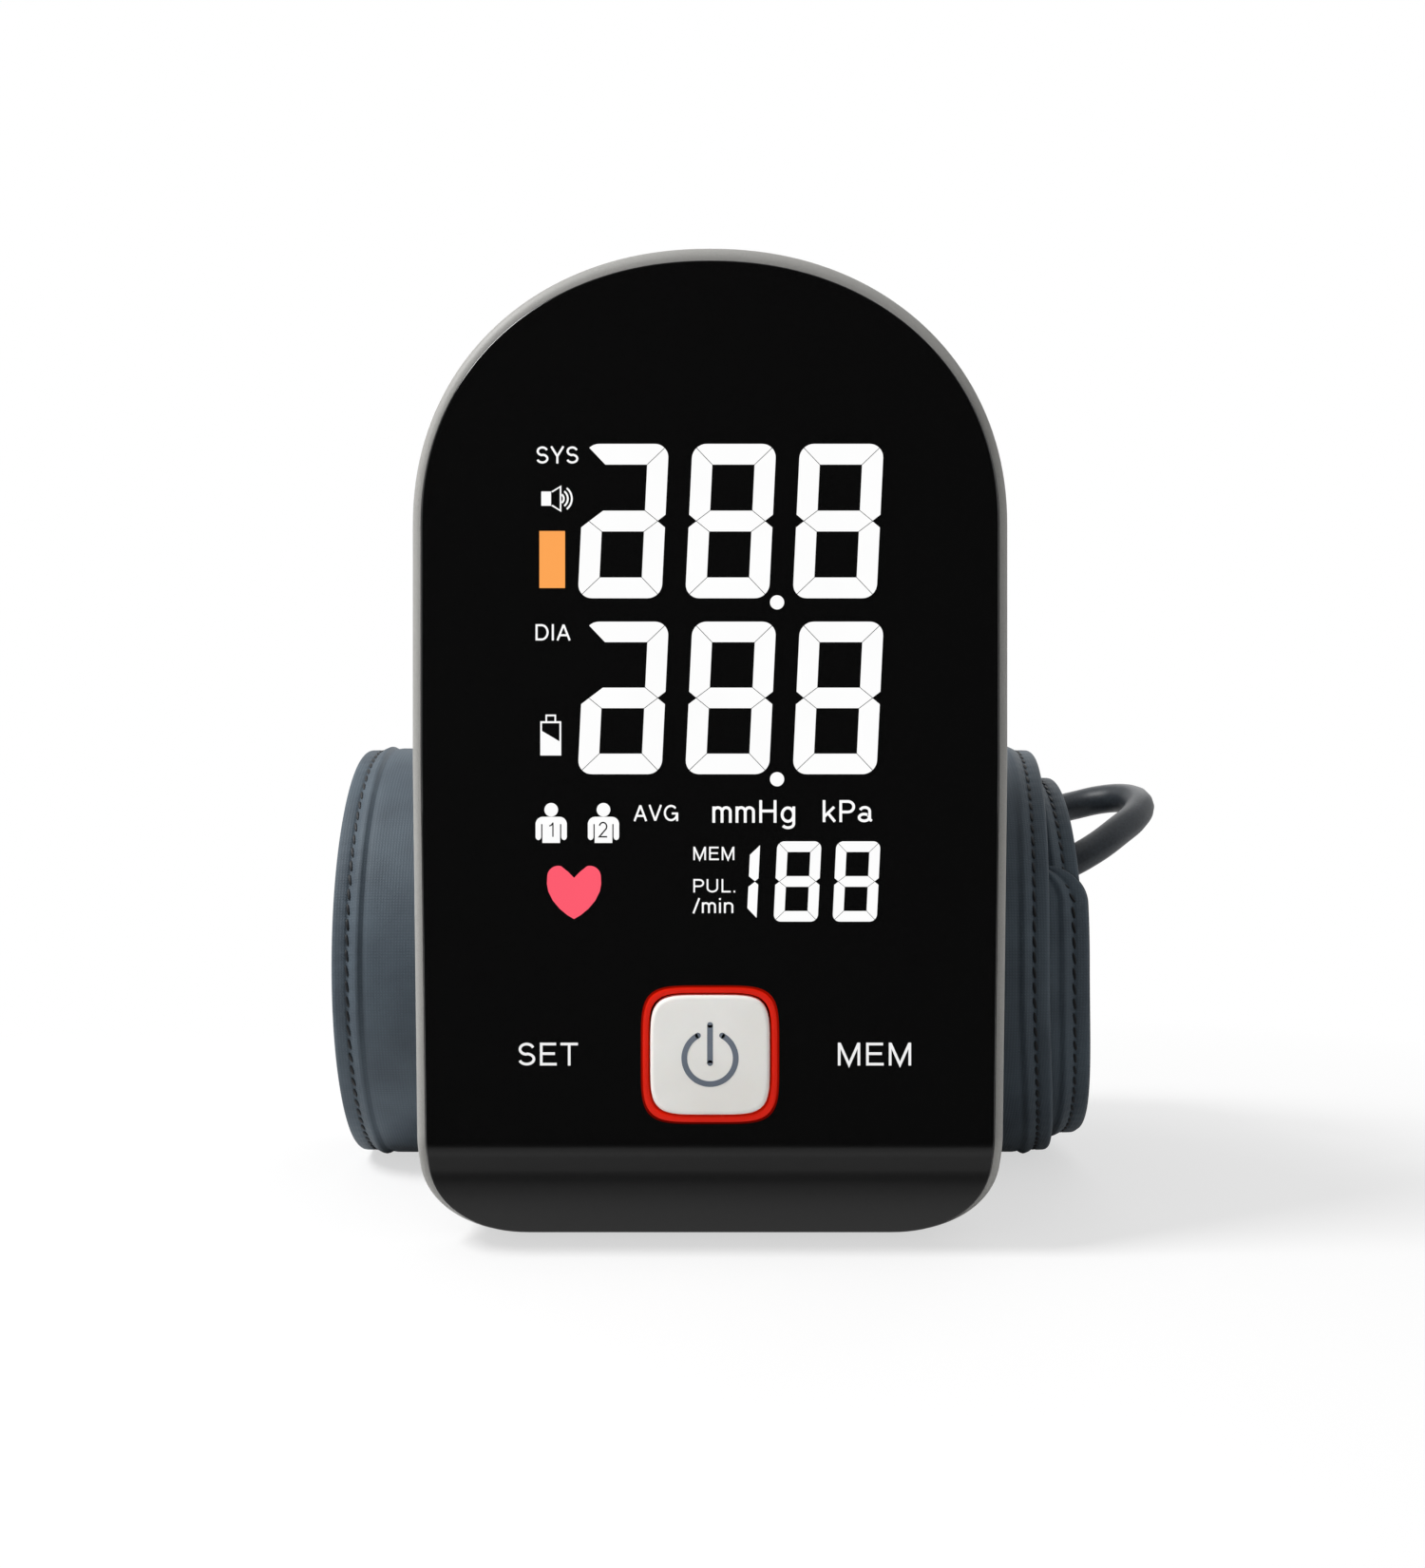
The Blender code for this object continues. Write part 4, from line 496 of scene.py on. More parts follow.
finish_piece(rim, rim_paint, "monitor", smooth=40)
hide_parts("front_housing")

# %% [markdown]
# ## Power button
# A white cap sits in a red ring lit from behind. Both are squircles, drawn as rows with small rounds at
# their edges. The power mark is printed on the cap's face: an open circle with a bar.

# %% Power button and light ring
rows = [square_row(9.65, -29.1), square_row(9.65, -30.9)]
for k in range(1, 6):
    turn = math.pi / 2 * k / 5
    rows.append(square_row(9.65 - 0.7 * (1 - math.cos(turn)), -30.8 - 0.7 * math.sin(turn)))
rows.append(square_row(7.5, -31.5))
cap = draw_rows("button_cap", rows, caps=("face", "face"))
finish_piece(cap, cap_abs, "button", smooth=32, weighted=True)
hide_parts("power_button")

profile = ((9.95, -25.0), (9.95, -30.95), (10.05, -31.15), (10.25, -31.22), (10.6, -31.22), (10.8, -31.15),
           (10.85, -30.95), (10.85, -27.7), (12.25, -27.7), (12.25, -25.0))
rows = [square_row(half, y) for half, y in profile]
ring = draw_rows("light_ring", rows, joined=True)
finish_piece(ring, ring_lens, "monitor", smooth=40)
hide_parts("button_light_ring")

# %% [markdown]
# ## Flat signs
# Signs and letters are flat faces just in front of the surface that carries them. Every one has a box in
# millimetres. Shapes are drawn by their corners.

# %% Flat sign helpers
SIGN_Y = -31.03


def flat_sign(name, shapes, skin, y=SIGN_Y, body="monitor"):
    """One piece of flat faces from lists of (x, z) corners in millimetres."""
    corners, faces = [], []
    for shape in shapes:
        area = sum(a[0] * b[1] - b[0] * a[1] for a, b in zip(shape, shape[1:] + shape[:1]))
        line = shape if area > 0 else shape[::-1]
        faces.append(tuple(range(len(corners), len(corners) + len(line))))
        corners += [(x * MM, y * MM, z * MM) for x, z in line]
    return finish_piece(add_mesh(name, corners, faces), skin, body)


def drawn_in(shape, gap):
    """A convex shape with every edge moved inwards by the gap."""
    area = sum(a[0] * b[1] - b[0] * a[1] for a, b in zip(shape, shape[1:] + shape[:1]))
    line = shape if area > 0 else shape[::-1]
    moved = []
    for before, here, after in zip(line[-1:] + line[:-1], line, line[1:] + line[:1]):
        first = (Vector(here) - Vector(before)).normalized()
        second = (Vector(after) - Vector(here)).normalized()
        turned = [Vector((-v.y, v.x)) for v in (first, second)]
        moved.append(tuple(Vector(here) + (turned[0] + turned[1]) * gap / (1 + turned[0].dot(turned[1]))))
    return moved


def bow(x, z, wide, tall, first, last, steps=14):
    """Points on an ellipse, in degrees from +X."""
    turns = [math.radians(first + (last - first) * k / steps) for k in range(steps + 1)]
    return [(x + wide * math.cos(turn), z + tall * math.sin(turn)) for turn in turns]


def arc(x, z, radius, first, last, steps=8):
    """Points on an arc, in degrees from +X."""
    return bow(x, z, radius, radius, first, last, steps)


print("sign helpers ready")

# %% [markdown]
# ## Plain letters
# The labels are in a plain sans serif of one even stroke. The built-in font has splayed letters that
# don't look like it, so each letter is drawn here as pen strokes: lines and bows on a grid whose capitals
# are 1 high. A stroke gets its width after the word has been fitted to its box.

# %% Letter strokes
LETTERS = {  # width, then strokes
    "S": (0.60, [bow(0.30, 0.715, 0.23, 0.225, 18, 262) + bow(0.30, 0.285, 0.25, 0.225, 82, -162)]),
    "Y": (0.66, [[(0.03, 1.0), (0.33, 0.42)], [(0.63, 1.0), (0.33, 0.42)], [(0.33, 0.45), (0.33, 0.0)]]),
    "D": (0.70, [[(0.09, 0.0), (0.09, 1.0)],
                 [(0.09, 0.94), *bow(0.34, 0.5, 0.30, 0.44, 90, -90), (0.09, 0.06)]]),
    "I": (0.18, [[(0.09, 0.0), (0.09, 1.0)]]),
    "A": (0.67, [[(0.03, 0.0), (0.335, 0.97)], [(0.64, 0.0), (0.335, 0.97)], [(0.14, 0.32), (0.53, 0.32)]]),
    "V": (0.66, [[(0.03, 1.0), (0.33, 0.03)], [(0.63, 1.0), (0.33, 0.03)]]),
    "G": (0.76, [bow(0.38, 0.5, 0.32, 0.44, 42, 345, 22), [(0.42, 0.47), (0.70, 0.47), (0.70, 0.0)]]),
    "M": (0.80, [[(0.08, 0.0), (0.08, 1.0)], [(0.09, 0.97), (0.40, 0.04), (0.71, 0.97)],
                 [(0.72, 0.0), (0.72, 1.0)]]),
    "E": (0.64, [[(0.09, 0.0), (0.09, 1.0)], [(0.09, 0.94), (0.60, 0.94)], [(0.09, 0.52), (0.56, 0.52)],
                 [(0.09, 0.06), (0.62, 0.06)]]),
    "T": (0.60, [[(0.0, 0.94), (0.60, 0.94)], [(0.30, 0.0), (0.30, 0.94)]]),
    "P": (0.62, [[(0.09, 0.0), (0.09, 1.0)],
                 [(0.09, 0.94), *bow(0.36, 0.70, 0.22, 0.24, 90, -90), (0.09, 0.46)]]),
    "U": (0.69, [[(0.08, 1.0), *bow(0.345, 0.34, 0.265, 0.28, 180, 360), (0.61, 1.0)]]),
    "L": (0.56, [[(0.09, 1.0), (0.09, 0.0)], [(0.09, 0.06), (0.54, 0.06)]]),
    "H": (0.72, [[(0.09, 0.0), (0.09, 1.0)], [(0.63, 0.0), (0.63, 1.0)], [(0.09, 0.52), (0.63, 0.52)]]),
    "m": (0.76, [[(0.07, 0.0), (0.07, 0.72)], [*bow(0.225, 0.49, 0.155, 0.18, 180, 0), (0.38, 0.0)],
                 [*bow(0.535, 0.49, 0.155, 0.18, 180, 0), (0.69, 0.0)]]),
    "g": (0.57, [bow(0.28, 0.36, 0.215, 0.30, 0, 360, 20),
                 [(0.50, 0.72), *bow(0.285, -0.04, 0.215, 0.18, 0, -150)]]),
    "k": (0.50, [[(0.07, 0.0), (0.07, 1.0)], [(0.09, 0.26), (0.45, 0.69)], [(0.21, 0.42), (0.48, 0.02)]]),
    "a": (0.54, [[*bow(0.27, 0.49, 0.185, 0.18, 160, 0), (0.455, 0.13), (0.53, 0.05)],
                 bow(0.245, 0.21, 0.19, 0.155, 50, 395, 20)]),
    "i": (0.14, [[(0.07, 0.0), (0.07, 0.72)], [(0.07, 0.88), (0.07, 1.0)]]),
    "n": (0.52, [[(0.07, 0.0), (0.07, 0.72)], [*bow(0.26, 0.48, 0.19, 0.19, 180, 0), (0.45, 0.0)]]),
    ".": (0.14, [[(0.07, 0.0), (0.07, 0.13)]]),
    "/": (0.30, [[(0.0, -0.02), (0.30, 1.0)]]),
    "1": (0.40, [[(0.30, 0.0), (0.30, 1.0)], [(0.06, 0.76), (0.18, 0.80), (0.29, 0.95)]]),
    "2": (0.60, [[*bow(0.30, 0.69, 0.23, 0.25, 170, -38), (0.06, 0.06), (0.56, 0.06)]]),
}
LETTER_GAP = 0.11
print("letters drawn:", "".join(LETTERS))


# %% Words from strokes
def stroked(points, half):
    """Quads along a line of points, this much to each side of it."""
    sides = ([], [])
    for i, here in enumerate(points):
        before, after = points[max(i - 1, 0)], points[min(i + 1, len(points) - 1)]
        first = (Vector(here) - Vector(before)).normalized() if i else None
        second = (Vector(after) - Vector(here)).normalized() if i < len(points) - 1 else first
        first = first or second
        lean_in = Vector((-first.y - second.y, first.x + second.x)).normalized()
        reach = half / max(0.35, abs(lean_in.dot(Vector((-first.y, first.x)))))
        sides[0].append(tuple(Vector(here) + lean_in * reach))
        sides[1].append(tuple(Vector(here) - lean_in * reach))
    return [[sides[0][i], sides[0][i + 1], sides[1][i + 1], sides[1][i]] for i in range(len(points) - 1)]


def letters(name, text, low_x, high_x, low_z, high_z, skin, weight=0.062, y=SIGN_Y):
    """A word of strokes, fitted to its box in millimetres."""
    lines, at = [], 0.0
    for letter in text:
        width, strokes = LETTERS[letter]
        lines += [[(at + x, z) for x, z in stroke] for stroke in strokes]
        at += width + LETTER_GAP
    xs = [x for one in lines for x, _ in one]
    zs = [z for one in lines for _, z in one]
    half = weight * (high_z - low_z) / (max(zs) - min(zs))
    rate_x = (high_x - low_x - 2 * half) / (max(xs) - min(xs))
    rate_z = (high_z - low_z) / (max(zs) - min(zs))
    quads = []
    for one in lines:
        fitted = [(low_x + half + (x - min(xs)) * rate_x, low_z + (z - min(zs)) * rate_z) for x, z in one]
        quads += stroked(fitted, half)
    return flat_sign(name, quads, skin, y)


# %% [markdown]
# ## Seven-bar digits
# Each lit digit has seven mitred bars with thin dark lines between them and rounded outer corners, and
# leans a little to the right. The first figure of each row has no upper left bar.

# %% Seven-bar digits
def digit_bars(width, thick, round_by):
    """The seven bars of a digit of height 1, by their usual letters."""
    near = 0.293 * round_by
    low, high = 0.5 - thick / 2, 0.5 + thick / 2
    pinch, notch = 0.36 * thick, 0.04
    top = arc(round_by, 1 - round_by, round_by, 135, 90, 4)
    top += arc(width - round_by, 1 - round_by, round_by, 90, 45, 4)
    top += [(width - thick, 1 - thick), (thick, 1 - thick)]
    left = arc(round_by, 1 - round_by, round_by, 135, 180, 4)
    left += [(0, 0.5 + notch), (pinch, 0.5), (thick, high), (thick, 1 - thick)]
    middle = [(pinch, 0.5), (thick, high), (width - thick, high), (width - pinch, 0.5), (width - thick, low),
              (thick, low)]
    flip_x = [(width - x, z) for x, z in left]
    return {"a": top, "f": left, "g": middle, "b": flip_x, "d": [(x, 1 - z) for x, z in top],
            "e": [(x, 1 - z) for x, z in left], "c": [(x, 1 - z) for x, z in flip_x]}


def digit(name, bars, low_x, low_z, high_z, width, thick=0.138, slant=0.048, round_by=0.093, gap=0.05):
    """The chosen bars of a digit whose lower left corner and height are given in millimetres."""
    tall = high_z - low_z
    made = []
    for letter, shape in digit_bars(width / tall, thick, round_by).items():
        if letter in bars:
            sheared = [(low_x + tall * (x + slant * z), low_z + tall * z) for x, z in shape]
            made.append(drawn_in(sheared, gap))
    return flat_sign(name, made, white_light)


for row, (low_z, high_z) in enumerate(((106.36, 131.32), (78.03, 102.69)), 1):
    for place, low_x in enumerate((-21.36, -4.06, 13.25), 1):
        digit(f"digit_{row}_{place}", "abcdeg" if place == 1 else "abcdefg", low_x, low_z, high_z, 13.6)
for place, low_x in ((2, 10.18), (3, 19.68)):
    digit(f"digit_3_{place}", "abcdefg", low_x, 54.30, 67.31, 7.2, gap=0.04)
digit("digit_3_1", "bc", 5.74 - 7.2 + 0.138 * 13.0, 54.85, 66.75, 7.2, round_by=0.02, gap=0.04)
flat_sign("decimal_dots", [arc(10.8, z, 1.15, 0, 345, 23) for z in (105.75, 77.27)], white_light)

# %% [markdown]
# ## Labels and small signs
# Units and keys are plain words that every such device carries. The signs are a loudspeaker, a level
# bar, a battery, two users and a heart. The place of a maker's name stays bare.

# %% Labels
for name, text, box in (("label_upper", "SYS", (-27.95, -21.21, 128.11, 130.86)),
                        ("label_lower", "DIA", (-28.10, -22.44, 99.62, 102.23)),
                        ("label_average", "AVG", (-12.33, -5.13, 70.53, 73.13)),
                        ("label_unit_mercury", "mmHg", (0.38, 13.71, 69.46, 73.90)),
                        ("label_unit_metric", "kPa", (18.15, 26.26, 70.37, 73.90)),
                        ("label_memory", "MEM", (-2.68, 3.91, 64.25, 66.39)),
                        ("label_pulse", "PUL.", (-2.68, 4.06, 59.04, 61.19)),
                        ("label_minute", "/min", (-2.83, 3.75, 55.67, 58.12))):
    letters(name, text, *box, white_light)
for name, text, box in (("label_set_key", "SET", (-30.86, -21.06, 31.17, 34.85)),
                        ("label_memory_key", "MEM", (20.60, 32.39, 31.17, 34.85))):
    letters(name, text, *box, label_light, 0.058)

# %% Small signs
def band_of(outer, inner):
    """Quads between two lines of points."""
    return [[outer[i], outer[i + 1], inner[i + 1], inner[i]] for i in range(len(outer) - 1)]


sound = [[(-27.18, 121.3), (-25.6, 121.3), (-25.6, 123.6), (-27.18, 123.6)],
         [(-25.6, 123.6), (-25.35, 123.45), (-24.2, 124.2), (-23.95, 124.59)],
         [(-25.6, 121.3), (-23.95, 120.30), (-24.2, 120.7), (-25.35, 121.45)],
         [(-24.2, 120.7), (-23.95, 120.30), (-23.95, 124.59), (-24.2, 124.2)]]
for reach in (0.85, 1.5, 2.15):
    sound += band_of(arc(-24.4, 122.45, reach + 0.15, -52, 52), arc(-24.4, 122.45, reach - 0.15, -52, 52))
flat_sign("sign_sound", sound, white_light)
flat_sign("sign_level", [[(-27.49, 108.05), (-23.35, 108.05), (-23.35, 117.24), (-27.49, 117.24)]],
          amber_light)
flat_sign("sign_battery", [
    [(-27.34, 81.09), (-23.97, 81.09), (-23.97, 83.2), (-27.34, 85.2)],
    [(-27.34, 85.2), (-27.06, 85.0), (-27.06, 86.3), (-27.34, 86.6)],
    [(-24.25, 83.35), (-23.97, 83.2), (-23.97, 86.6), (-24.25, 86.3)],
    [(-27.34, 86.6), (-27.06, 86.3), (-24.25, 86.3), (-23.97, 86.6)],
    [(-26.5, 86.6), (-26.25, 86.6), (-26.25, 87.4), (-26.5, 87.68)],
    [(-25.05, 86.6), (-24.8, 86.6), (-24.8, 87.68), (-25.05, 87.4)],
    [(-26.5, 87.68), (-26.25, 87.4), (-25.05, 87.4), (-24.8, 87.68)]], white_light)


def user_sign(name, low_x, number, number_box):
    """Head, shoulders and arms, with the user's number in dark print."""
    middle = low_x + 2.52
    torso = [(middle - 1.42, 67.01), (middle + 1.42, 67.01), (middle + 1.42, 71.2), (middle - 1.42, 71.2)]
    chest = arc(middle + 1.35, 70.05, 1.17, 0, 90, 6) + arc(middle - 1.35, 70.05, 1.17, 90, 180, 6)
    shapes = [torso, chest, arc(middle, 72.35, 1.1, 0, 345, 23)]
    for side in (-1, 1):
        arm = [(middle + side * 2.52, 70.2), (middle + side * 1.62, 70.2), (middle + side * 1.62, 67.9)]
        arm += [(middle + side * 1.78, 67.58), (middle + side * 2.07, 67.46), (middle + side * 2.37, 67.6),
                (middle + side * 2.52, 67.9)]
        shapes.append(arm)
    flat_sign(name, shapes, white_light)
    letters(name + "_number", number, *number_box, ink_black, 0.045, SIGN_Y - 0.02)


user_sign("sign_user_one", -28.10, "1", (-26.0, -25.2, 68.0, 70.3))
user_sign("sign_user_two", -19.68, "2", (-17.95, -16.45, 68.0, 70.3))
heart = [(-21.9, 61.4), (-20.9, 62.4)] + arc(-19.35, 61.55, 1.78, 105, 8, 8)
heart += [(-17.53, 60.4), (-17.75, 59.2), (-18.5, 57.7), (-19.6, 56.4), (-20.8, 55.4), (-21.9, 54.75)]
mirror = [(-43.8 - x, z) for x, z in reversed(heart[1:-1])]
flat_sign("sign_heart", [heart + mirror], heart_light)

# %% Power mark
outer, inner = (arc(0.0, 32.4, r, 118, 422, 56) for r in (4.6, 3.68))
mark = band_of(outer, inner) + [[(-0.46, 31.63), (0.46, 31.63), (0.46, 37.76), (-0.46, 37.76)]]
mark += [arc(x, z, 0.46, 0, 345, 23) for x, z in ((-1.95, 36.06), (1.95, 36.06), (0.0, 31.63), (0.0, 37.76))]
flat_sign("power_mark", mark, mark_ink, -31.53, "button")

# %% [markdown]
# ## Wound cuff
# The cuff is a flat sewn sleeve, wound almost two turns with the closure flap between the turns. Its
# surface is drawn as stations round the roll, each with a profile across the strip: a soft edge, a hem
# pressed down by the stitching, a piped ridge beside it, and the smooth field. A grid is used because no
# operator winds a spiral whose edges wander. Each band keeps a UV map in metres along and across.

# %% Roll geometry
ROLL_Y, ROLL_Z, OUTER_R, INNER_R = 61.6, 42.0, 42.0, 36.2
FLAP_R = 38.5
RIGHT_EDGE = ((150, 66.0), (270, 69.5), (360, 64.0), (450, 66.8), (510, 70.5), (560, 71.5))
LEFT_EDGE = ((150, -71.5), (450, -71.5), (510, -66.0), (560, -64.5))
FLAP_EDGE = ((-150, 75.5), (-70, 75.0), (0, 72.2), (34, 72.4))
STITCH_IN, STITCH_PITCH, EDGE_R = 3.0, 2.9, 0.9


def eased(table, at):
    """A size read from a table of places, with smooth steps between them."""
    if at <= table[0][0]:
        return table[0][1]
    for (a, low), (b, high) in zip(table, table[1:]):
        if at <= b:
            t = (at - a) / (b - a)
            return low + (high - low) * t * t * (3 - 2 * t)
    return table[-1][1]


def strip_radius(turn):
    """The strip's outside radius: it dives under its own tail after one turn."""
    t = min(max((turn - 450.0) / 52.5, 0.0), 1.0)
    return OUTER_R - (OUTER_R - INNER_R) * t * t * (3 - 2 * t)


def on_roll(turn, radius, x):
    """A point on the roll in millimetres: turn is 0 at its front and 90 at its top."""
    angle = math.radians(turn)
    return Vector((x, ROLL_Y - radius * math.cos(angle), ROLL_Z + radius * math.sin(angle)))


def edge_tuck(d):
    """How far the cloth's face turns in, this far from its edge."""
    return EDGE_R * (1 - math.sqrt(max(0.0, 1 - ((EDGE_R - d) / EDGE_R) ** 2))) if d < EDGE_R else 0.0


def hem_height(d, along):
    """How far the cloth stands above its plain radius, d from its edge, along the seam."""
    height = -edge_tuck(d)
    hem = 1 / (1 + math.exp((d - 3.7) / 0.16))
    height -= 0.42 * hem
    height -= 0.30 * math.exp(-((d - STITCH_IN) / 0.42) ** 2)
    height += 0.34 * math.exp(-((d - 4.9) / 0.62) ** 2)
    height -= 0.22 * math.exp(-((d - 6.1) / 0.45) ** 2)
    pucker = math.cos(2 * math.pi * along / STITCH_PITCH)
    height += 0.07 * pucker * math.exp(-((d - 3.0) / 1.5) ** 2)
    return height


def slow_waves(along, x):
    """The slight unevenness of cloth that has been wound by hand, in millimetres."""
    return (0.10 * math.sin(along / 17.0 + x / 23.0) + 0.07 * math.sin(along / 7.3 - x / 11.0 + 1.7)
            + 0.05 * math.sin(along / 29.0 - x / 5.1 + 0.6))


NEAR_EDGE = (0.0, 0.12, 0.3, 0.55, 0.9, 1.5, 2.1, 2.5, 2.75, 3.0, 3.25, 3.5, 3.75, 4.0, 4.3, 4.6, 4.9,
             5.2, 5.5, 5.8, 6.1, 6.5, 7.2, 8.5)
print("roll geometry ready")


# %% A band of cloth
def cloth_band(name, start, end, step, outer, thick, left, right, skins, hems=True, waves=1.0):
    """A closed band of cloth; skins are the outer and inner materials."""
    stations = round((end - start) / step)
    corners, places, faces, along = [], [], [], 0.0
    for k in range(stations + 1):
        turn = start + (end - start) * k / stations
        radius, x0, x1 = outer(turn), left(turn), right(turn)
        if k:
            along += math.radians((end - start) / stations) * radius
        inward = [8.5 + (x1 - x0 - 17.0) * i / 12 for i in range(1, 12)]
        across = [*NEAR_EDGE, *inward, *[x1 - x0 - d for d in reversed(NEAR_EDGE)]]
        row = []
        for d in across:
            edge = min(d, x1 - x0 - d)
            rise = hem_height(edge, along) if hems else 0.0
            fade = min(edge / 12.0, 1.0)
            rise += waves * fade * slow_waves(along, x0 + d)
            row.append((radius + rise, x0 + d))
        for d in reversed(across):
            edge = min(d, x1 - x0 - d)
            tuck = edge_tuck(edge) if hems else 0.0
            row.append((radius - thick + tuck + (0.25 if hems and edge < 3.5 else 0.0), x0 + d))
        for r, x in row:
            point = on_roll(turn, r, x)
            point.z = max(point.z, 0.0)
            corners.append(point * MM)
            places.append((along * MM, x * MM))
    count = 2 * (2 * len(NEAR_EDGE) + 11)
    for k in range(stations):
        for i in range(count):
            j = (i + 1) % count
            faces.append((k * count + i, k * count + j, (k + 1) * count + j, (k + 1) * count + i))
    half = count // 2
    for first in (0, stations * count):
        for i in range(half - 1):
            faces.append((first + i, first + i + 1, first + count - 2 - i, first + count - 1 - i))
    thing = add_mesh(name, corners, faces)
    mesh = thing.data
    shape = bmesh.new()
    shape.from_mesh(mesh)
    bmesh.ops.recalc_face_normals(shape, faces=shape.faces)
    shape.to_mesh(mesh)
    shape.free()
    layer = mesh.uv_layers.new(name="cloth")
    for loop in mesh.loops:
        layer.data[loop.index].uv = places[loop.vertex_index]
    finish_piece(thing, skins[0], "cuff", smooth=60)
    thing.data.materials.append(skins[1])
    for k in range(stations):
        for i in range(half, count - 1):
            mesh.polygons[k * count + i].material_index = 1
    return thing


FINE = 1.0
strip = cloth_band("cuff_strip", 150.0, 825.0, FINE, strip_radius, 3.2,
                   lambda turn: eased(LEFT_EDGE, turn), lambda turn: eased(RIGHT_EDGE, turn),
                   (cuff_nylon, lining_nylon))
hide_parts("cuff_outer_cloth", "cuff_inner_cloth", "cuff_bladder")

# %% Closure flap and its tapes
FLAP_CORNER, FLAP_END, FLAP_START = 8.0, 30.0, -150.0


def flap_side(turn, edge, sign):
    """The flap's edge, with a round corner at each end of it."""
    reach = min(FLAP_END - turn, turn - FLAP_START) * math.radians(1) * FLAP_R
    if reach < FLAP_CORNER:
        edge -= sign * (FLAP_CORNER - math.sqrt(max(0.0, FLAP_CORNER ** 2 - (FLAP_CORNER - reach) ** 2)))
    return edge


flap = cloth_band("cuff_flap", FLAP_START, FLAP_END, FINE * 0.75, lambda turn: FLAP_R, 2.0,
                  lambda turn: flap_side(turn, -64.0, -1),
                  lambda turn: flap_side(turn, eased(FLAP_EDGE, turn), 1),
                  (cuff_nylon, loop_tape), waves=0.4)
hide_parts("cuff_closure_flap")
hook = cloth_band("hook_tape_patch", 157.5, 202.5, 2.5, lambda turn: FLAP_R, 1.1, lambda turn: -58.0,
                  lambda turn: 58.0, (lining_nylon, hook_tape), hems=False, waves=0.0)
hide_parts("cuff_hook_patch")
loop = cloth_band("loop_tape_patch", 157.5, 202.5, 2.5, lambda turn: FLAP_R - 1.4, 0.6, lambda turn: -58.0,
                  lambda turn: 58.0, (loop_tape, lining_nylon), hems=False, waves=0.0)
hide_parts("cuff_loop_patch")

# %% [markdown]
# ## Stitches
# A lockstitch in thick thread runs 3 mm inside every edge. One stitch is a stretched ball pressed into the
# cloth; it is copied along the seams with a slight slant to each side in turn, and the copies are joined.

# %% One stitch
clear_pick()
bpy.ops.mesh.primitive_uv_sphere_add(segments=8, ring_count=6, radius=1.0)
bpy.ops.object.mode_set(mode="EDIT")
bpy.ops.mesh.select_all(action="SELECT")
bpy.ops.transform.resize(value=(1.22 * MM, 0.36 * MM, 0.26 * MM))
bpy.ops.object.mode_set(mode="OBJECT")
one_stitch = bpy.context.object
stitch_corners = [corner.co.copy() for corner in one_stitch.data.vertices]
stitch_faces = [tuple(face.vertices) for face in one_stitch.data.polygons]
bpy.data.objects.remove(one_stitch, do_unlink=True)
print("stitch", len(stitch_faces), "faces")


# %% Seams
def seam(name, line):
    """Stitches along a line of (point in mm, outward direction), spread at an even pitch."""
    lengths = [0.0]
    for (a, _), (b, _) in zip(line, line[1:]):
        lengths.append(lengths[-1] + (b - a).length)
    count = int(lengths[-1] / STITCH_PITCH)
    corners, faces, at = [], [], 0
    for k in range(count):
        target = (k + 0.5) * lengths[-1] / count
        while lengths[at + 1] < target:
            at += 1
        (a, out), (b, _) = line[at], line[at + 1]
        middle = a.lerp(b, (target - lengths[at]) / (lengths[at + 1] - lengths[at]))
        forward = (b - a).normalized()
        beside = out.cross(forward).normalized()
        slant = math.radians(13 if k % 2 else 9)
        run = forward * math.cos(slant) + beside * math.sin(slant)
        turned = Matrix((run, out.cross(run), out)).transposed()
        first = len(corners)
        corners += [middle * MM + turned @ corner for corner in stitch_corners]
        faces += [tuple(first + i for i in face) for face in stitch_faces]
    return finish_piece(add_mesh(name, corners, faces), sewing_thread, "cuff", smooth=60)


def edge_line(start, end, step, radius, side_at, inward, sink=0.62):
    """A seam line round the roll, inside an edge."""
    line, turn = [], start
    while turn <= end:
        out = (on_roll(turn, 1, 0) - on_roll(turn, 0, 0)).normalized()
        line.append((on_roll(turn, radius(turn) - sink, side_at(turn) + inward), out))
        turn += step
    return line


seam("stitches_left", edge_line(152, 822, 1.0, strip_radius, lambda t: eased(LEFT_EDGE, t), STITCH_IN))
seam("stitches_right", edge_line(152, 822, 1.0, strip_radius, lambda t: eased(RIGHT_EDGE, t), -STITCH_IN))
tail = [(on_roll(152.6, OUTER_R - 0.1, x), (on_roll(152.6, 1, 0) - on_roll(152.6, 0, 0)).normalized())
        for x in range(-68, 63, 2)]
seam("stitches_tail", tail)
corner_turn = FLAP_END - math.degrees(FLAP_CORNER / FLAP_R)
flap_line = edge_line(-146, corner_turn, 1.0, lambda t: FLAP_R, lambda t: eased(FLAP_EDGE, t), -STITCH_IN)
for k in range(1, 9):
    turn = math.pi / 2 * k / 8
    round_r = FLAP_CORNER - STITCH_IN
    at = corner_turn + math.degrees(round_r * math.sin(turn) / FLAP_R)
    out = (on_roll(at, 1, 0) - on_roll(at, 0, 0)).normalized()
    x = eased(FLAP_EDGE, at) - FLAP_CORNER + round_r * math.cos(turn)
    flap_line.append((on_roll(at, FLAP_R - 0.62, x), out))
last_turn, last_out = at, out
flap_line += [(on_roll(last_turn, FLAP_R - 0.3, x), last_out) for x in range(62, -58, -2)]
seam("stitches_flap", flap_line)
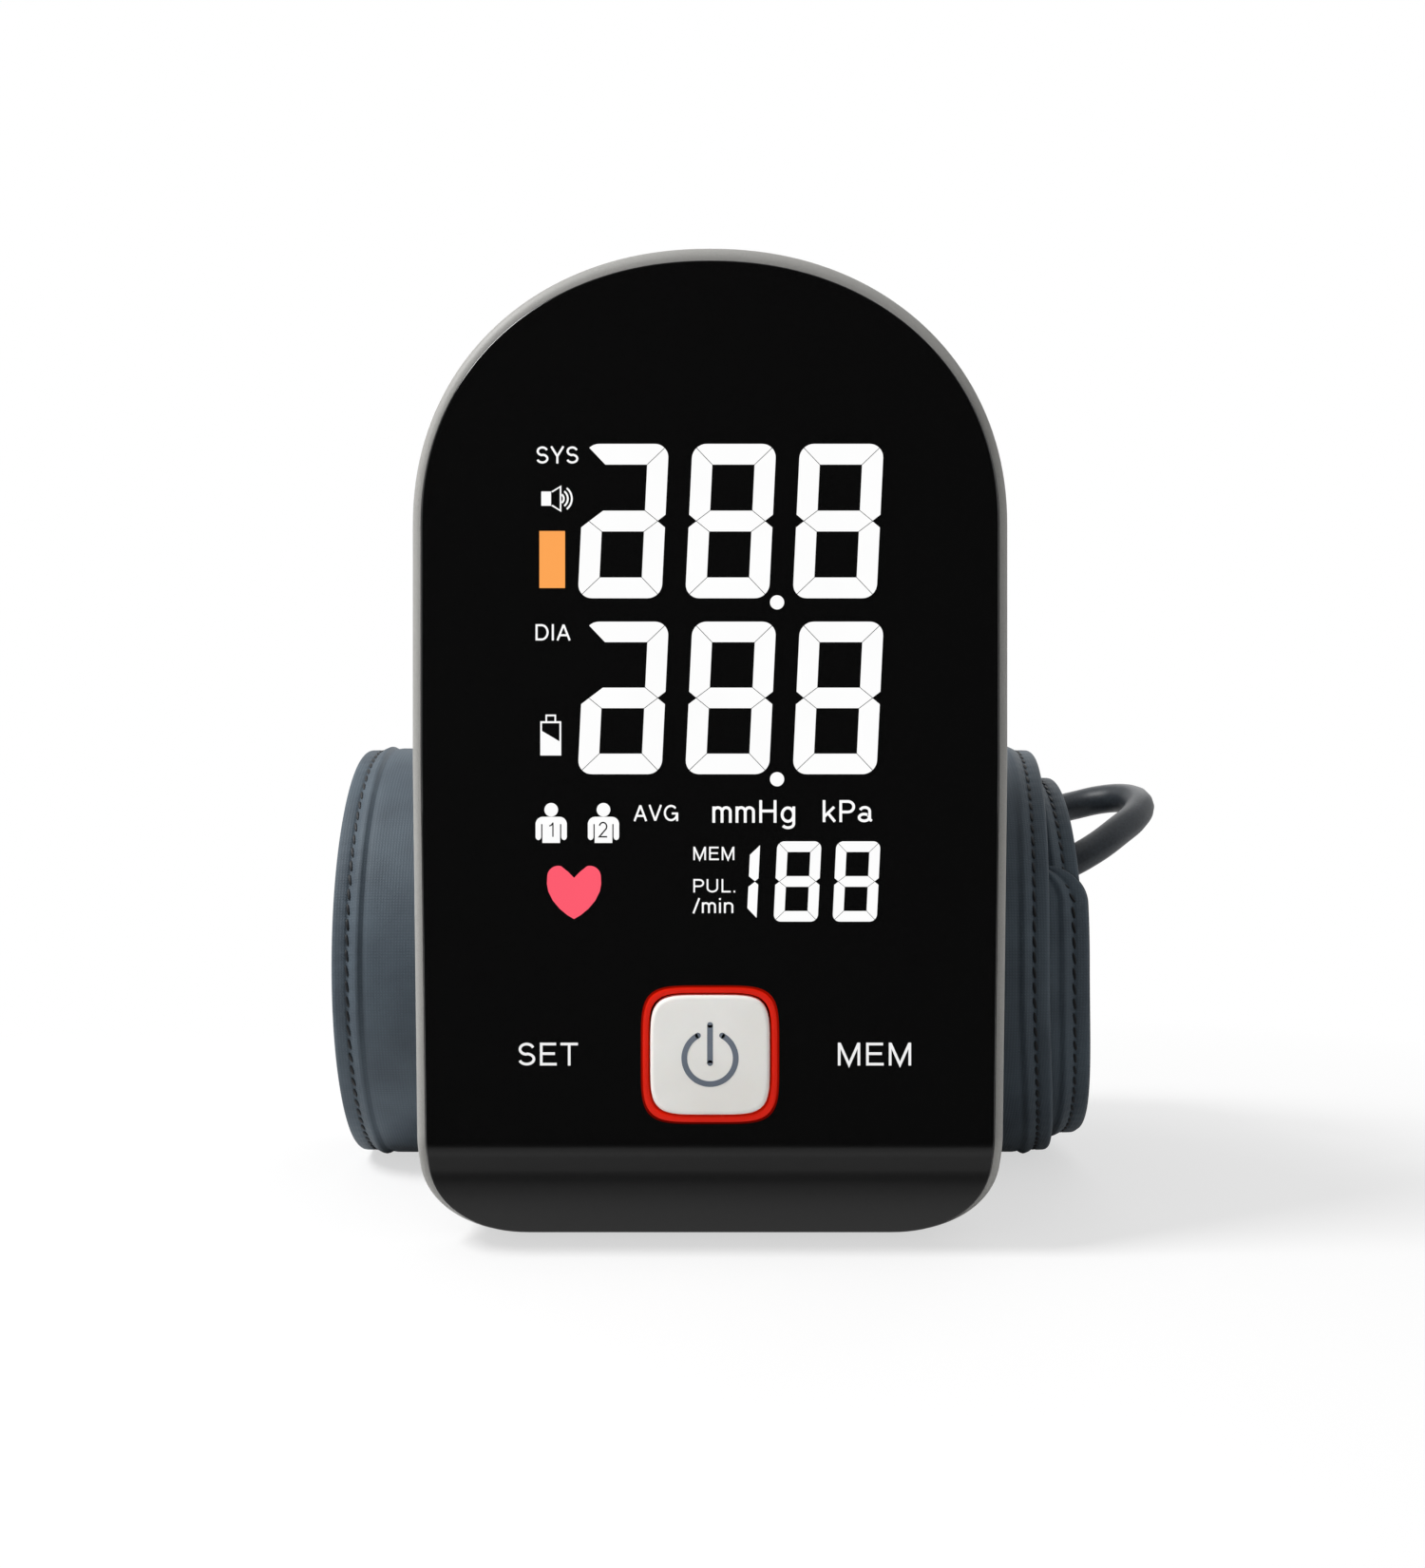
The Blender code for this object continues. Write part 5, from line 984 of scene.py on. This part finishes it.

# %% [markdown]
# ## Hose
# One soft tube leaves the port inside the roll, bends outside the roll's right end, runs back down through
# the hollow and is folded into a hank of one and a half turns, held by a tie. Its points are in
# millimetres; a smooth curve passes through them.

# %% Hose route
START_Y, START_Z = 61.6, 70.0
HOLLOW_R, HANK_HALF_WIDTH, HANK_CLEAR = 33.0, 22.1, 1.7
HANK_LOW = ROLL_Z - math.sqrt(HOLLOW_R ** 2 - HANK_HALF_WIDTH ** 2) + HANK_CLEAR
LOW_Z, HIGH_Z = HANK_LOW + 3.1, HANK_LOW + 9.4
FOLD_R, FOLD_X = 18.0, 29.0
BEND = ((56.0, 0.0, 0.0), (64.0, 0.6, 0.0), (71.0, 2.6, 0.6), (77.0, 4.2, 1.9), (82.6, 2.9, 3.2),
        (86.8, -1.4, 3.5), (88.2, -7.4, 2.5), (86.4, -13.4, 0.2), (81.6, -18.4, -3.0),
        (75.6, -21.4, -6.8), (69.0, -22.8, -10.0), (58.0, -23.6, -13.4))
FALL = ((40.0, -0.11, 0.22), (22.0, -0.07, 0.49), (8.0, 0.25, 0.73), (-6.0, 0.71, 0.90))
route = [(x, START_Y + back, START_Z + up) for x, back, up in BEND]
_, bend_y, bend_z = route[-1]
end_y, end_z = ROLL_Y - 18.0, HANK_LOW + 12.4 + 3.3
route += [(x, bend_y + (end_y - bend_y) * back, bend_z + (end_z - bend_z) * down) for x, back, down in FALL]
route.append((-18.0, ROLL_Y - FOLD_R, HIGH_Z + 1.6))


def fold(side, z, first):
    """Half a turn round one end of the hank."""
    turns = [math.pi * k / 8 for k in range(9)]
    return [(side * (FOLD_X + FOLD_R * math.sin(turn)), ROLL_Y + first * FOLD_R * math.cos(turn), z)
            for turn in turns]


route += fold(-1, HIGH_Z, -1)
route += [(-14.0, ROLL_Y + FOLD_R, HIGH_Z), (0.0, ROLL_Y + FOLD_R, HIGH_Z - 0.7),
          (14.0, ROLL_Y + FOLD_R, LOW_Z + 1.0)]
route += fold(1, LOW_Z, 1)
route += [(14.0, ROLL_Y - FOLD_R, LOW_Z), (0.0, ROLL_Y - FOLD_R, LOW_Z), (-14.0, ROLL_Y - FOLD_R, LOW_Z)]
route += fold(-1, LOW_Z, -1)
route += [(-16.0, ROLL_Y + 16.4, LOW_Z + 0.2), (-3.0, ROLL_Y + 12.2, LOW_Z + 1.2),
          (10.0, ROLL_Y + 6.4, LOW_Z + 3.4), (23.0, ROLL_Y + 1.8, HIGH_Z - 1.0),
          (36.0, ROLL_Y, HIGH_Z), (50.2, ROLL_Y, HIGH_Z)]
print("hose points", len(route))

# %% Hose
line = bpy.data.curves.new("air_hose", "CURVE")
line.dimensions = "3D"
line.bevel_depth, line.bevel_resolution = 3.0 * MM, 5
line.use_fill_caps = True
spline = line.splines.new("BEZIER")
spline.bezier_points.add(len(route) - 1)
spline.resolution_u = 8
for knot, place in zip(spline.bezier_points, route):
    knot.co = Vector(place) * MM
    knot.handle_left_type = knot.handle_right_type = "AUTO"
hose = add_object("air_hose", line)
hose.data.materials.append(hose_pvc)
bpy.context.view_layer.update()
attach(hose, "cuff")
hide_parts("hose_tube", "hose_hank")

# %% [markdown]
# ## Connector, tie and port
# The connector is a turned grip with ribs and a thinner tip, drawn as circles along its axis. The tie is a
# soft band round the hank. The port is a moulded elbow welded to the air bladder.

# %% Connector
def turned_rows(profile, centre_y, centre_z, sides=40):
    """Circles round an X axis from (x, radius) pairs in millimetres."""
    rows = []
    for x, radius in profile:
        rows.append([(x * MM, (centre_y + radius * math.cos(2 * math.pi * i / sides)) * MM,
                      (centre_z + radius * math.sin(2 * math.pi * i / sides)) * MM) for i in range(sides)])
    return rows


profile = [(50.3, 2.6), (50.35, 3.3), (51.2, 3.7), (52.8, 4.2), (53.4, 4.9), (54.0, 5.0)]
for k in range(5):
    rib = 54.8 + 1.25 * k
    profile += [(rib, 5.0), (rib + 0.15, 4.6), (rib + 0.5, 4.6), (rib + 0.65, 5.0)]
profile += [(61.6, 5.0), (62.2, 4.8), (62.3, 3.0), (65.0, 3.0), (65.2, 2.6), (66.2, 2.6), (66.4, 3.0),
            (68.2, 3.0), (68.4, 2.6), (69.4, 2.6), (69.6, 3.0), (71.6, 2.9), (72.1, 2.4), (72.1, 1.5),
            (66.0, 1.5)]
plug = draw_rows("hose_connector", turned_rows(profile, ROLL_Y, HIGH_Z), caps=("face", "face"))
finish_piece(plug, filled_nylon, "cuff", smooth=35)
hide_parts("hose_plug")

# %% Tie
rows = []
for x, grow in ((-5.0, 0.3), (-5.0, 0.9), (-4.6, 1.1), (4.6, 1.1), (5.0, 0.9), (5.0, 0.3)):
    ring = []
    for i in range(64):
        turn = 2 * math.pi * i / 64
        across, up = math.cos(turn), math.sin(turn)
        reach_y = (21.0 + grow) * math.copysign(abs(across) ** 0.3, across)
        reach_z = (6.2 + grow) * math.copysign(abs(up) ** 0.42, up)
        ring.append((x * MM, (ROLL_Y + reach_y) * MM, (HANK_LOW + 6.2 + reach_z) * MM))
    rows.append(ring)
tie = draw_rows("hank_tie_band", rows, joined=True)
finish_piece(tie, pad_rubber, "cuff", smooth=40)
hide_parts("hose_tie")

# %% [markdown]
# ## Finishes for the CAD's own pieces
# The CAD nodes that stay visible keep their shape and get the finish that their real material has.

# %% Finish the CAD nodes
finishes = {
    casing_abs: ("rear_housing", "battery_cover", "speaker"),
    pad_rubber: ("base_pad", "cuff_hose_port"),
    guide_abs: ("display_light_guide", "deflation_valve", "air_manifold"),
    filled_nylon: ("pump_head", "pressure_sensor", "tact_plunger"),
    zinc_steel: ("tact_switch", "pump_motor", "charging_jack", "battery_contacts_lower",
                 "battery_contacts_upper", "air_socket", *[f"housing_screw_{k}" for k in (1, 2, 3, 4)]),
    spring_steel: ("touch_spring_left", "touch_spring_right", *[f"battery_spring_{k}" for k in (1, 2, 3, 4)]),
    turned_brass: ("pump_rotor", "valve_plunger"),
    cell_film: [f"battery_cell_{k}" for k in (1, 2, 3, 4)],
    board_lacquer: ("led_board", "main_board"),
    tube_pvc: ("air_tube_socket", "air_tube_sensor", "air_tube_pump"),
    ring_lens: ("button_light_ring",), rim_paint: ("front_housing",), lens_acrylic: ("front_panel",),
    cap_abs: ("power_button",), cuff_nylon: ("cuff_outer_cloth", "cuff_inner_cloth", "cuff_closure_flap"),
    bladder_film: ("cuff_bladder",), hook_tape: ("cuff_hook_patch",), loop_tape: ("cuff_loop_patch",),
    hose_pvc: ("hose_tube", "hose_hank", "hose_tie", "hose_plug"),
}
for skin, names in finishes.items():
    for name in names:
        node = NODES[name]
        for place in node.material_slots:
            place.material = skin
finished_names = {name for names in finishes.values() for name in names}
print("nodes without a finish:", sorted(set(NODES) - finished_names))


# %% Even shading on the CAD nodes
def corner_key(mesh, corner):
    """A corner's place, rounded so that corners that touch share one key."""
    return tuple(round(v, 6) for v in mesh.vertices[corner].co)


def soften(mesh, angle=36.0):
    """Shade the steps of a curved face as one face. Only the normals change, not the corners."""
    around, least, normals = {}, math.cos(math.radians(angle)), []
    for face in mesh.polygons:
        for corner in face.vertices:
            around.setdefault(corner_key(mesh, corner), []).append((face.normal.copy(), face.area))
    for face in mesh.polygons:
        for corner in face.vertices:
            total = Vector()
            for normal, area in around[corner_key(mesh, corner)]:
                if normal.dot(face.normal) > least:
                    total += normal * area
            normals.append(total.normalized() if total.length else face.normal.copy())
    mesh.polygons.foreach_set("use_smooth", [True] * len(mesh.polygons))
    mesh.normals_split_custom_set(normals)


for name in sorted(finished_names):
    soften(NODES[name].data)
print("shading evened on", len(finished_names), "nodes")

# %% [markdown]
# ## Floor, backdrop and light
# A pale floor, a large lamp at the upper left, a weak one behind, and an even world light. A gloss lens
# shows whatever it mirrors, so the room on the viewer's side is dark. In front of the object the floor
# carries a painted reflection: a dark card that only mirrored rays see, with two pale painted bands right
# under the sloping foot that paint the light and dark bands on the lens slope.

# %% Floor and backdrop
# the painted reflection on the lens slope: a card's y range and its grey levels from front to back
PAINTED_REFLECTION_FRONT, PAINTED_REFLECTION_BACK = -0.058, -0.018
PAINTED_REFLECTION_BANDS = ((0.0, 0.02), (0.22, 0.10), (0.40, 0.44), (0.58, 0.52), (0.68, 0.36), (0.72, 0.34),
              (0.745, 0.16), (0.765, 0.15), (0.80, 0.29), (0.86, 0.44), (0.9, 0.50), (1.0, 0.56))


def stage_material(name):
    """White paper: it keeps a soft shadow near the object and is pure white further off. In front of the
    object, mirrored rays see a painted reflection instead: a card of glowing grey bands.
    """
    skin, tree, shader = start_material(name, "#f4f4f4", 0.9)
    paths = add_node(tree, "ShaderNodeLightPath")
    place = add_node(tree, "ShaderNodeTexCoord").outputs["Object"]
    far = add_node(tree, "ShaderNodeVectorMath", {"operation": "LENGTH"}, {0: place})
    share = add_node(tree, "ShaderNodeMapRange", inputs={"Value": far.outputs["Value"], "From Min": 0.12,
                                                         "From Max": 0.32, "To Min": 0.62, "To Max": 1.0})
    seen = add_node(tree, "ShaderNodeMath", {"operation": "MULTIPLY"},
                    {0: paths.outputs["Is Camera Ray"], 1: share.outputs["Result"]})
    white = add_node(tree, "ShaderNodeEmission", inputs={"Color": (1, 1, 1, 1), "Strength": 1.0})
    paper = add_node(tree, "ShaderNodeMixShader",
                     inputs={0: seen.outputs[0], 1: shader.outputs[0], 2: white.outputs[0]})
    # painted reflection: mirrored rays in front of the object see a glowing card of grey bands, not the paper
    depth = add_node(tree, "ShaderNodeSeparateXYZ", inputs={"Vector": place}).outputs["Y"]
    forward = add_node(tree, "ShaderNodeMapRange", inputs={"Value": depth, "From Min": PAINTED_REFLECTION_FRONT,
                                                           "From Max": PAINTED_REFLECTION_BACK})
    painted_reflection_ramp = add_node(tree, "ShaderNodeValToRGB", inputs={0: forward.outputs["Result"]})
    for k, (at, grey) in enumerate(PAINTED_REFLECTION_BANDS):
        stop = painted_reflection_ramp.color_ramp.elements[k] if k < 2 else painted_reflection_ramp.color_ramp.elements.new(at)
        stop.position, stop.color = at, (grey, grey, grey, 1)
    near = add_node(tree, "ShaderNodeMath", {"operation": "LESS_THAN"}, {0: depth, 1: PAINTED_REFLECTION_BACK})
    mirrored = add_node(tree, "ShaderNodeMath", {"operation": "MULTIPLY"},
                        {0: paths.outputs["Is Glossy Ray"], 1: near.outputs[0]})
    painted_reflection_glow = add_node(tree, "ShaderNodeEmission", inputs={"Color": painted_reflection_ramp.outputs["Color"], "Strength": 1.0})
    mix = add_node(tree, "ShaderNodeMixShader",
                   inputs={0: mirrored.outputs[0], 1: paper.outputs[0], 2: painted_reflection_glow.outputs[0]})
    tree.links.new(mix.outputs[0], tree.nodes["Material Output"].inputs["Surface"])
    return skin


clear_pick()
bpy.ops.mesh.primitive_plane_add(size=6.0, location=(0, 0, -0.0002))
floor = bpy.context.object
floor.name = "floor"
floor.data.materials.append(stage_material("white_paper_floor"))

# %% World and lamps
world = bpy.data.worlds.new("studio")
bpy.context.scene.world = world
world.use_nodes = True
tree = world.node_tree
paths = add_node(tree, "ShaderNodeLightPath")
direction = add_node(tree, "ShaderNodeTexCoord").outputs["Generated"]
parts = add_node(tree, "ShaderNodeSeparateXYZ", inputs={"Vector": direction})
dark_front = add_node(tree, "ShaderNodeMapRange", inputs={"Value": parts.outputs["Y"], "From Min": -0.85,
                                                          "From Max": -0.35, "To Min": 0.02, "To Max": 0.8})
for_gloss = add_node(tree, "ShaderNodeMix", {"data_type": "FLOAT"},
                     {0: paths.outputs["Is Glossy Ray"], 2: 0.4, 3: dark_front.outputs["Result"]})
for_eye = add_node(tree, "ShaderNodeMix", {"data_type": "FLOAT"},
                   {0: paths.outputs["Is Camera Ray"], 2: for_gloss.outputs[0], 3: 1.0})
tree.links.new(for_eye.outputs[0], tree.nodes["Background"].inputs["Strength"])
tree.nodes["Background"].inputs["Color"].default_value = (1, 1, 1, 1)


def lamp(name, place, target, size, watts):
    """A square soft box that faces its target."""
    data = bpy.data.lights.new(name, "AREA")
    data.size, data.energy = size, watts
    thing = add_object(name, data)
    thing.location = place
    thing.rotation_euler = (Vector(target) - Vector(place)).to_track_quat("-Z", "Y").to_euler()
    return thing


lamp("key_light", (-0.50, -0.22, 0.70), (0, 0.03, 0.08), 0.30, 7.4)
lamp("back_light", (0.25, 0.75, 0.55), (0, 0.05, 0.08), 0.5, 1.2)
bpy.context.scene.view_settings.view_transform = "Standard"
print("stage ready")
